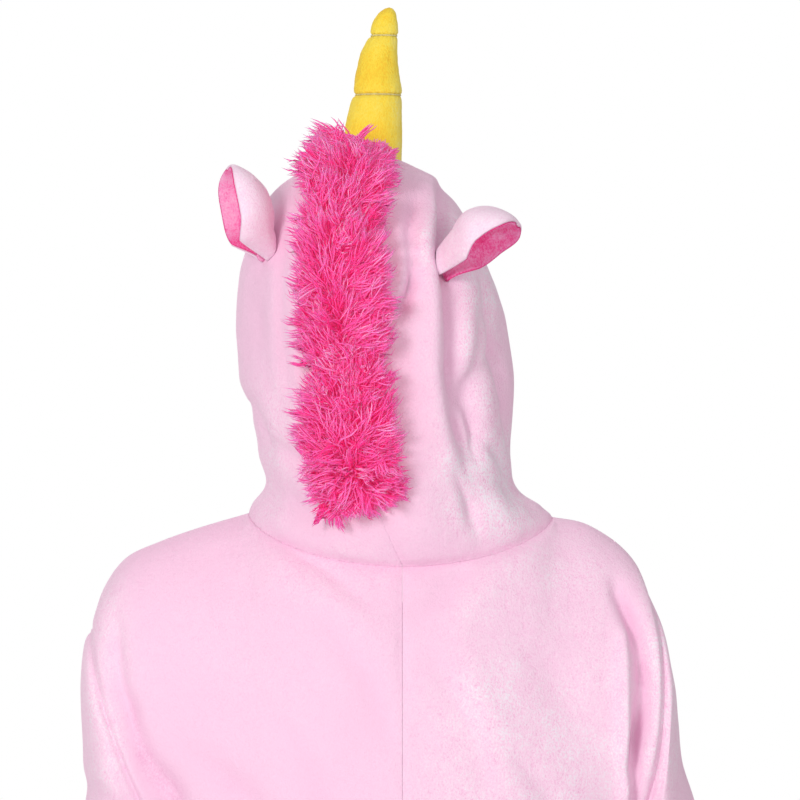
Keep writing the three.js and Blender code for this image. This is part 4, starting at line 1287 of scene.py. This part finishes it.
def makeHorn():
    rows, around = horn["rows"], horn["around"]
    angle = np.arange(around) / around * 2 * math.pi
    angle, place = np.meshgrid(angle, np.linspace(0, len(hornRings["z"]) - 1, rows))
    ring = readTable(hornRings, place)
    nearThread = sum(
        np.exp(-((place - thread["ring"]) / horn["puckerReach"]) ** 2) for thread in hornThreads)
    folds = 1 + np.cos(horn["puckers"] * angle + 2 * np.sin(3 * angle))
    grid = aroundAxis(ring, ring["radius"] - horn["puckerDepth"] * nearThread * folds, angle)
    outward = stack(np.cos(angle), np.sin(angle), 0)
    grid = grid + outward * (0.5 * unevenness(grid, 12, 31) + 0.3 * unevenness(grid, 5, 33))[..., None]
    for i in range(around):  # the foot follows the hood
        x, y, z = grid[0, i]
        drop = seatOnHood((x, y, z + 40), (0, 0, -1), 0.4)[2] - z
        grid[:, i, 2] += drop * np.clip(1 - place[:, i] / horn["footFade"], 0, 1) ** 1.5
    bottom = grid[0].mean(0) + np.array([0, 0, horn["bottomRise"]])
    top = grid[-1].mean(0) + np.array(horn["tipOffset"])
    points = np.concatenate((grid.reshape(-1, 3), [bottom, top]))
    here = np.arange(around)
    there = (here + 1) % around
    lastRow = (rows - 1) * around
    centre = np.full(around, rows * around)
    caps = np.concatenate((np.stack((centre, there, here), -1),
                           np.stack((centre + 1, lastRow + here, lastRow + there), -1)))
    wall = gridQuads(rows, around, True)[:, [0, 3, 2, 1]]
    piece = meshObject("hornPlush", points, [wall, caps], [goldPlush])
    # painted highlight: the horn is made paler, and its speckle stronger, on its side towards -X; the slow
    # banding up the horn is tone
    paintedPaleSide = smooth(-(points[:, 0] - 18) / 22, 0.1, 0.9)
    setAttribute(piece, "frostAndPaintedLight", 0.3 + 0.42 * paintedPaleSide + 0.08 * np.sin(points[:, 2] * 0.11))
    seat(piece, "horn")


# Tube through points, as points and faces. An open one has a flat face at each end.
def tubeParts(path, radius, closedLoop=True, around=6):
    if closedLoop:
        tangent = unit(np.roll(path, -1, 0) - np.roll(path, 1, 0))
    else:
        tangent = unit(np.gradient(path, axis=0))
    guide = np.where(abs(tangent[:, 2:]) > 0.9, [[1.0, 0, 0]], [[0, 0, 1.0]])
    first = unit(np.cross(tangent, guide))
    second = np.cross(tangent, first)
    angle = np.arange(around) * 2 * math.pi / around
    rings = path[:, None] + radius * (
        first[:, None] * np.cos(angle)[None, :, None] + second[:, None] * np.sin(angle)[None, :, None])
    total = len(path) * around
    faces = (gridQuads(len(path) + closedLoop, around, True)[:, [1, 2, 3, 0]] % total).tolist()
    if not closedLoop:
        faces += [list(range(around)), list(range(total - around, total))[::-1]]
    return rings.reshape(-1, 3), faces


def joinedMesh(name, parts, material):
    points, faces = [], []
    start = 0
    for partPoints, partFaces in parts:
        points.append(partPoints)
        faces += [[start + k for k in face] for face in partFaces]
        start += len(partPoints)
    data = bpy.data.meshes.new(name)
    data.from_pydata((np.concatenate(points) * mm).tolist(), [], faces)
    data.polygons.foreach_set("use_smooth", np.ones(len(faces), bool))
    data.materials.append(material)
    return addObject(name, data)


def makeHornThread(thread):
    ring = readTable(hornRings, thread["ring"])
    angle = np.arange(twist["steps"]) / twist["steps"] * 2 * math.pi
    parts = []
    for phase in (0, math.pi):
        turned = angle * twist["turns"] + phase
        radius = thread["radius"] + twist["clearance"] + twist["ply"] * np.cos(turned)
        path = aroundAxis(ring, radius, angle, twist["ply"] * np.sin(turned))
        parts.append(tubeParts(path, twist["strandRadius"]))
    seat(joinedMesh(thread["name"] + "Twist", parts, hornThread), thread["name"])


makeHorn()
for thread in hornThreads:
    makeHornThread(thread)
print("horn made")


ears = dict(
    left=dict(base=(115, 88, 227), tip=(145, 88, 297), open=(0.9, 0.28, -0.34), bow=17, cup=32, foot=12),
    right=dict(
        base=(-41, 111, 224), tip=(-97, 120, 248), open=(-0.38, 0.3, -0.88), bow=23, cup=33, foot=15))
earShape = dict(
    rows=56, columns=64, baseHalfWidth=31, halfWidth=52, reach=0.94, footFade=0.18, castFrom=30,
    plushThickness=2.6, padding=4.6, rimBulge=1.0, liningGap=0.25, liningThickness=1.8,
    liningBulge=1.4, gathering=6, dimpleCrease=0.6)
# Folds of the lining along the ear: height, place across, width, and where along they start.
liningFolds = [(3.4, 0.3, 0.1, 0.15, 0.5), (2.6, -0.24, 0.12, 0.1, 0.4), (2.2, 0.62, 0.09, -1, 0)]


def makeEar(side):
    ear = ears[side]
    base, tip = np.array(ear["base"], float), np.array(ear["tip"], float)
    axis = unit(tip - base)
    towards = np.array(ear["open"], float)
    towards = unit(towards - axis * np.dot(towards, axis))
    across = np.cross(axis, towards)
    rows, columns = earShape["rows"], earShape["columns"]
    share = np.sin(np.linspace(0, 1, rows) * math.pi / 2 * earShape["reach"]) ** 1.1
    i, share = np.meshgrid(np.linspace(-1, 1, columns), share)
    radius = blend(ear["foot"], ear["cup"], smooth(share, 0, 0.45))
    halfWidth = blend(earShape["baseHalfWidth"], earShape["halfWidth"],
                      np.sin(np.minimum(1, share / 0.5) * math.pi / 2)) * np.sqrt(1 - share ** 3)
    angle = i * halfWidth / radius
    fold = base + (tip - base) * share[..., None] \
        - towards * (ear["bow"] * np.sin(math.pi * share) ** 0.8)[..., None]
    grid = fold + towards * (radius * (1 - np.cos(angle)))[..., None] \
        + across * (radius * np.sin(angle))[..., None]
    for k in range(columns):
        foot = grid[0, k].copy()
        middle = np.array([hood["middle"][0], hood["middle"][1], foot[2] - 8])
        start = foot + unit(foot - middle) * earShape["castFrom"]
        seated = seatOnHood(start, middle - foot, 0.2)
        grid[:, k] += (seated - foot)[None] * np.clip(1 - share[:, k:k + 1] / earShape["footFade"], 0, 1)
    normals = gridNormals(grid)
    j, k = rows // 2, columns // 2
    flipped = np.dot(normals[j, k], grid[j, k] - (fold[j, 0] + towards * ear["cup"])) < 0
    if flipped:
        normals = -normals
    dimples = unevenness(grid, 26, 51) * 1.8 + unevenness(grid, 11, 53) * 0.5
    pad = earShape["padding"] * (1 - i ** 6) * np.sin(np.clip(share, 0, 1) * math.pi) ** 0.5
    outer = grid + normals * (pad + dimples * (1 - i ** 4))[..., None]
    depth = earShape["plushThickness"] * (1 - 0.55 * i ** 8)
    inner = grid - normals * depth[..., None]
    rim = np.ones(grid.shape[:2])
    rim[0] = 0
    bulge = rim * earShape["rimBulge"]
    piece = wallMesh(f"ear_{side}Plush", outer, inner, [earPlush], flipped, False, bulge)
    # painted shade: the ear's pile is made paler on its raised dimples and darker in their hollows
    setFrostAndPaintedLight(piece, 0.45 + 0.05 * dimples)
    seat(piece, f"ear_{side}")

    crease = earShape["dimpleCrease"] * abs(dimples)
    for height, middle, width, low, high in liningFolds:
        crease = crease + height * np.exp(-((i - middle) / width) ** 2) * smooth(share, low, high)
    crease *= 1 - smooth(share, 0.78, 0.97)
    # gathered at the foot, more in the middle than at the rims
    crease += earShape["gathering"] * (1 - smooth(share, 0.04, 0.2)) * (1 - i ** 2) ** 3
    outer = grid + normals * (-depth - earShape["liningGap"])[..., None]
    inner = outer - normals * (earShape["liningThickness"] + crease)[..., None]
    bulge = rim * earShape["liningBulge"]
    lining = wallMesh(f"ear_lining_{side}Plush", outer, inner, [hotPlush], flipped, False, bulge)
    setFrostAndPaintedLight(lining, 0.52 + 0.3 * unevenness(inner, 14, 57))
    seat(lining, f"ear_lining_{side}")


for side in sides:
    makeEar(side)
print("ears made")


sewing = dict(
    stitch=3.1, space=1.3, radius=0.34, sides=4, hemWidth=22, hemColumn=20, cuffRows=4,
    share=[0, 0.18, 0.5, 0.82, 1],
    height=[-0.45, 0.18, 0.3, 0.18, -0.45])


# Short stitches along a line on the cloth.
def stitchParts(path, normals, closedLoop=False):
    if closedLoop:
        path = np.concatenate((path, path[:1]))
        normals = np.concatenate((normals, normals[:1]))
    distance = lengthAlong(path)
    parts = []
    for start in np.arange(0, distance[-1] - sewing["stitch"], sewing["stitch"] + sewing["space"]):
        at = start + np.array(sewing["share"]) * sewing["stitch"]
        up = unit(readLine(at, distance, normals))
        line = readLine(at, distance, path) + up * np.array(sewing["height"])[:, None]
        parts.append(tubeParts(line, sewing["radius"], False, sewing["sides"]))
    return parts


placket = dict(
    clearance=0.35, thickness=2.2, puff=0.5, ripple=0.5, halfShare=0.07, halfColumns=9, lastLevel=4,
    evening=6, edgeBulge=0.7, frostAndPaintedLight=0.36, stitchInset=4, width=58)
buttons = dict(
    heights=[-112, -232, -352, -472, -592], radius=9, rings=26, around=56, clearance=0.1,
    face=2.1, rim=0.8, rimRadius=7.9, rimWidth=0.75, roundRadius=8.4, roundWidth=0.6, roundDepth=0.935,
    holeOffset=2.1, holeRadius=0.95, holeDepth=1.5, threadRadius=0.3, threadShifts=(-0.25, 0.25))


# Points of the two fronts beside the centre seam, joined into one grid across it.
def placketGrid():
    targets = np.linspace(0, placket["halfShare"], placket["halfColumns"])
    halves = {}
    for side in sides:
        panel = fineCloth[f"front_{side}"]
        rows = panel["place"] <= placket["lastLevel"]
        near = panel["u"] <= placket["halfShare"] + 1e-6
        cells = panel["points"][rows][:, near]
        halves[side] = np.array([readLine(targets, panel["u"][near], row) for row in cells])
    halves["left"][:, 0, 0] = 0
    return np.concatenate((halves["right"][:, :0:-1], halves["left"]), axis=1)


def makePlacket():
    cloths = placketGrid()
    grid = cloths.copy()
    for _ in range(placket["evening"]):  # the strip bridges the seam's dip
        grid[:, 1:-1] = (grid[:, :-2] + grid[:, 1:-1] + grid[:, 2:]) / 3
    across = np.linspace(-1, 1, grid.shape[1])
    normals = gridNormals(grid)
    if normals[10, len(across) // 2, 1] > 0:
        normals = -normals
    grid[..., 1] = np.minimum(grid[..., 1], cloths[..., 1])
    flipped = gridNormals(grid)[10, len(across) // 2, 1] > 0
    rise = placket["thickness"] + placket["puff"] * (1 - across ** 6)
    rise = placket["clearance"] + rise[None] + placket["ripple"] * unevenness(grid, 30, 61)
    outer = grid + normals * rise[..., None]
    inner = grid + normals * placket["clearance"]
    bulge = np.full(grid.shape[:2], placket["edgeBulge"])
    piece = wallMesh("placketPlush", outer, inner, [plush], flipped, False, bulge)
    setAttribute(piece, "frostAndPaintedLight", np.full(len(piece.data.vertices), placket["frostAndPaintedLight"]))
    seat(piece, "placket")
    return outer, normals


placketOuter, placketNormals = makePlacket()


# A button with a raised rim and four holes, as points and faces.
def buttonParts(centre, sideways, up, away):
    rings, around, full = buttons["rings"], buttons["around"], buttons["radius"]
    radius = np.concatenate((np.linspace(0, 1, rings) * full, [full - 0.1, full - 0.9]))
    angle, radius = np.meshgrid(np.arange(around) / around * 2 * math.pi, radius)
    x, y = radius * np.cos(angle), radius * np.sin(angle)
    toRim = (radius - buttons["rimRadius"]) / buttons["rimWidth"]
    toEdge = np.maximum(0, (radius - buttons["roundRadius"]) / buttons["roundWidth"])
    height = buttons["face"] + buttons["rim"] * np.exp(-toRim ** 2) - buttons["roundDepth"] * toEdge ** 2
    offset, hole = buttons["holeOffset"], buttons["holeRadius"]
    for holeX, holeY in ((1, 1), (-1, 1), (-1, -1), (1, -1)):
        gap = np.hypot(x - holeX * offset, y - holeY * offset)
        height -= buttons["holeDepth"] * (1 - smooth(gap, hole - 0.25, hole + 0.15))
    height[rings], height[rings + 1] = 0.5, 0
    points = centre + stack(x, y, height).reshape(-1, 3) @ np.array([sideways, up, away])
    count = (rings + 2) * around
    faces = gridQuads(rings + 2, around, True).tolist()
    return points, faces + [list(range(count - around, count))[::-1]]


def makeButtons():
    middle = placketOuter.shape[1] // 2
    order = np.argsort(placketOuter[:, middle, 2])
    line, lineNormals = placketOuter[order, middle], placketNormals[order, middle]
    offset = buttons["holeOffset"]
    for number, height in enumerate(buttons["heights"], 1):
        away = unit(readLine(height, line[:, 2], lineNormals))
        centre = readLine(height, line[:, 2], line) + away * buttons["clearance"]
        up = unit(np.array([0, 0, 1.0]) - away * away[2])
        sideways = np.cross(up, away)
        disc = buttonParts(centre, sideways, up, away)
        piece = joinedMesh(f"button_{number}Disc", [disc], buttonPlastic)
        piece.data.validate()
        seat(piece, f"button_{number}")
        parts = []
        steps = np.linspace(-1, 1, 9)
        rise = 0.9 + 1.6 * (1 - np.abs(steps) ** 3)
        bar = centre + (offset * steps)[:, None] * up + rise[:, None] * away
        for x in (-offset, offset):  # two bars of thread through the holes
            for shift in buttons["threadShifts"]:
                parts.append(tubeParts(bar + (x + shift) * sideways, buttons["threadRadius"], False))
        bars = joinedMesh(f"button_{number}Thread", parts, seamThread)
        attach(bars, "root")


makeButtons()


# Stitching round the hems, the face edge and the placket.
def makeSewing():
    width = placketOuter.shape[1]
    near = max(1, round(width * placket["stitchInset"] / placket["width"]))
    parts = []
    for column in (near, width - 1 - near):
        parts += stitchParts(placketOuter[:, column], placketNormals[:, column])
    for side in sides:
        sleeve = fineCloth[f"sleeve_{side}"]
        row = -sewing["cuffRows"]
        parts += stitchParts(sleeve["points"][row], sleeve["normals"][row], True)
        hoodCloth = fineCloth[f"hood_{side}"]
        stitched = (hoodCloth["share"] > hood["stitchedFrom"]) & (hoodCloth["share"] < hood["stitchedTo"])
        rows = np.nonzero(stitched)[0]
        toFace = fromBorder(hoodCloth["points"], 1, True)[rows]
        columns = np.argmin(abs(toFace - hood["groovePlace"]), axis=1)
        parts += stitchParts(hoodCloth["points"][rows, columns], hoodCloth["normals"][rows, columns])
        for faceName in ("back", "front"):
            panel = fineCloth[f"{faceName}_{side}"]
            toHem = fromBorder(panel["points"], 0, True)[:, sewing["hemColumn"]]
            row = np.argmin(abs(toHem - sewing["hemWidth"]))
            parts += stitchParts(panel["points"][row], panel["normals"][row])
    piece = joinedMesh("topstitching", parts, seamThread)
    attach(piece, "root")


makeSewing()
print("placket, buttons and sewing made")
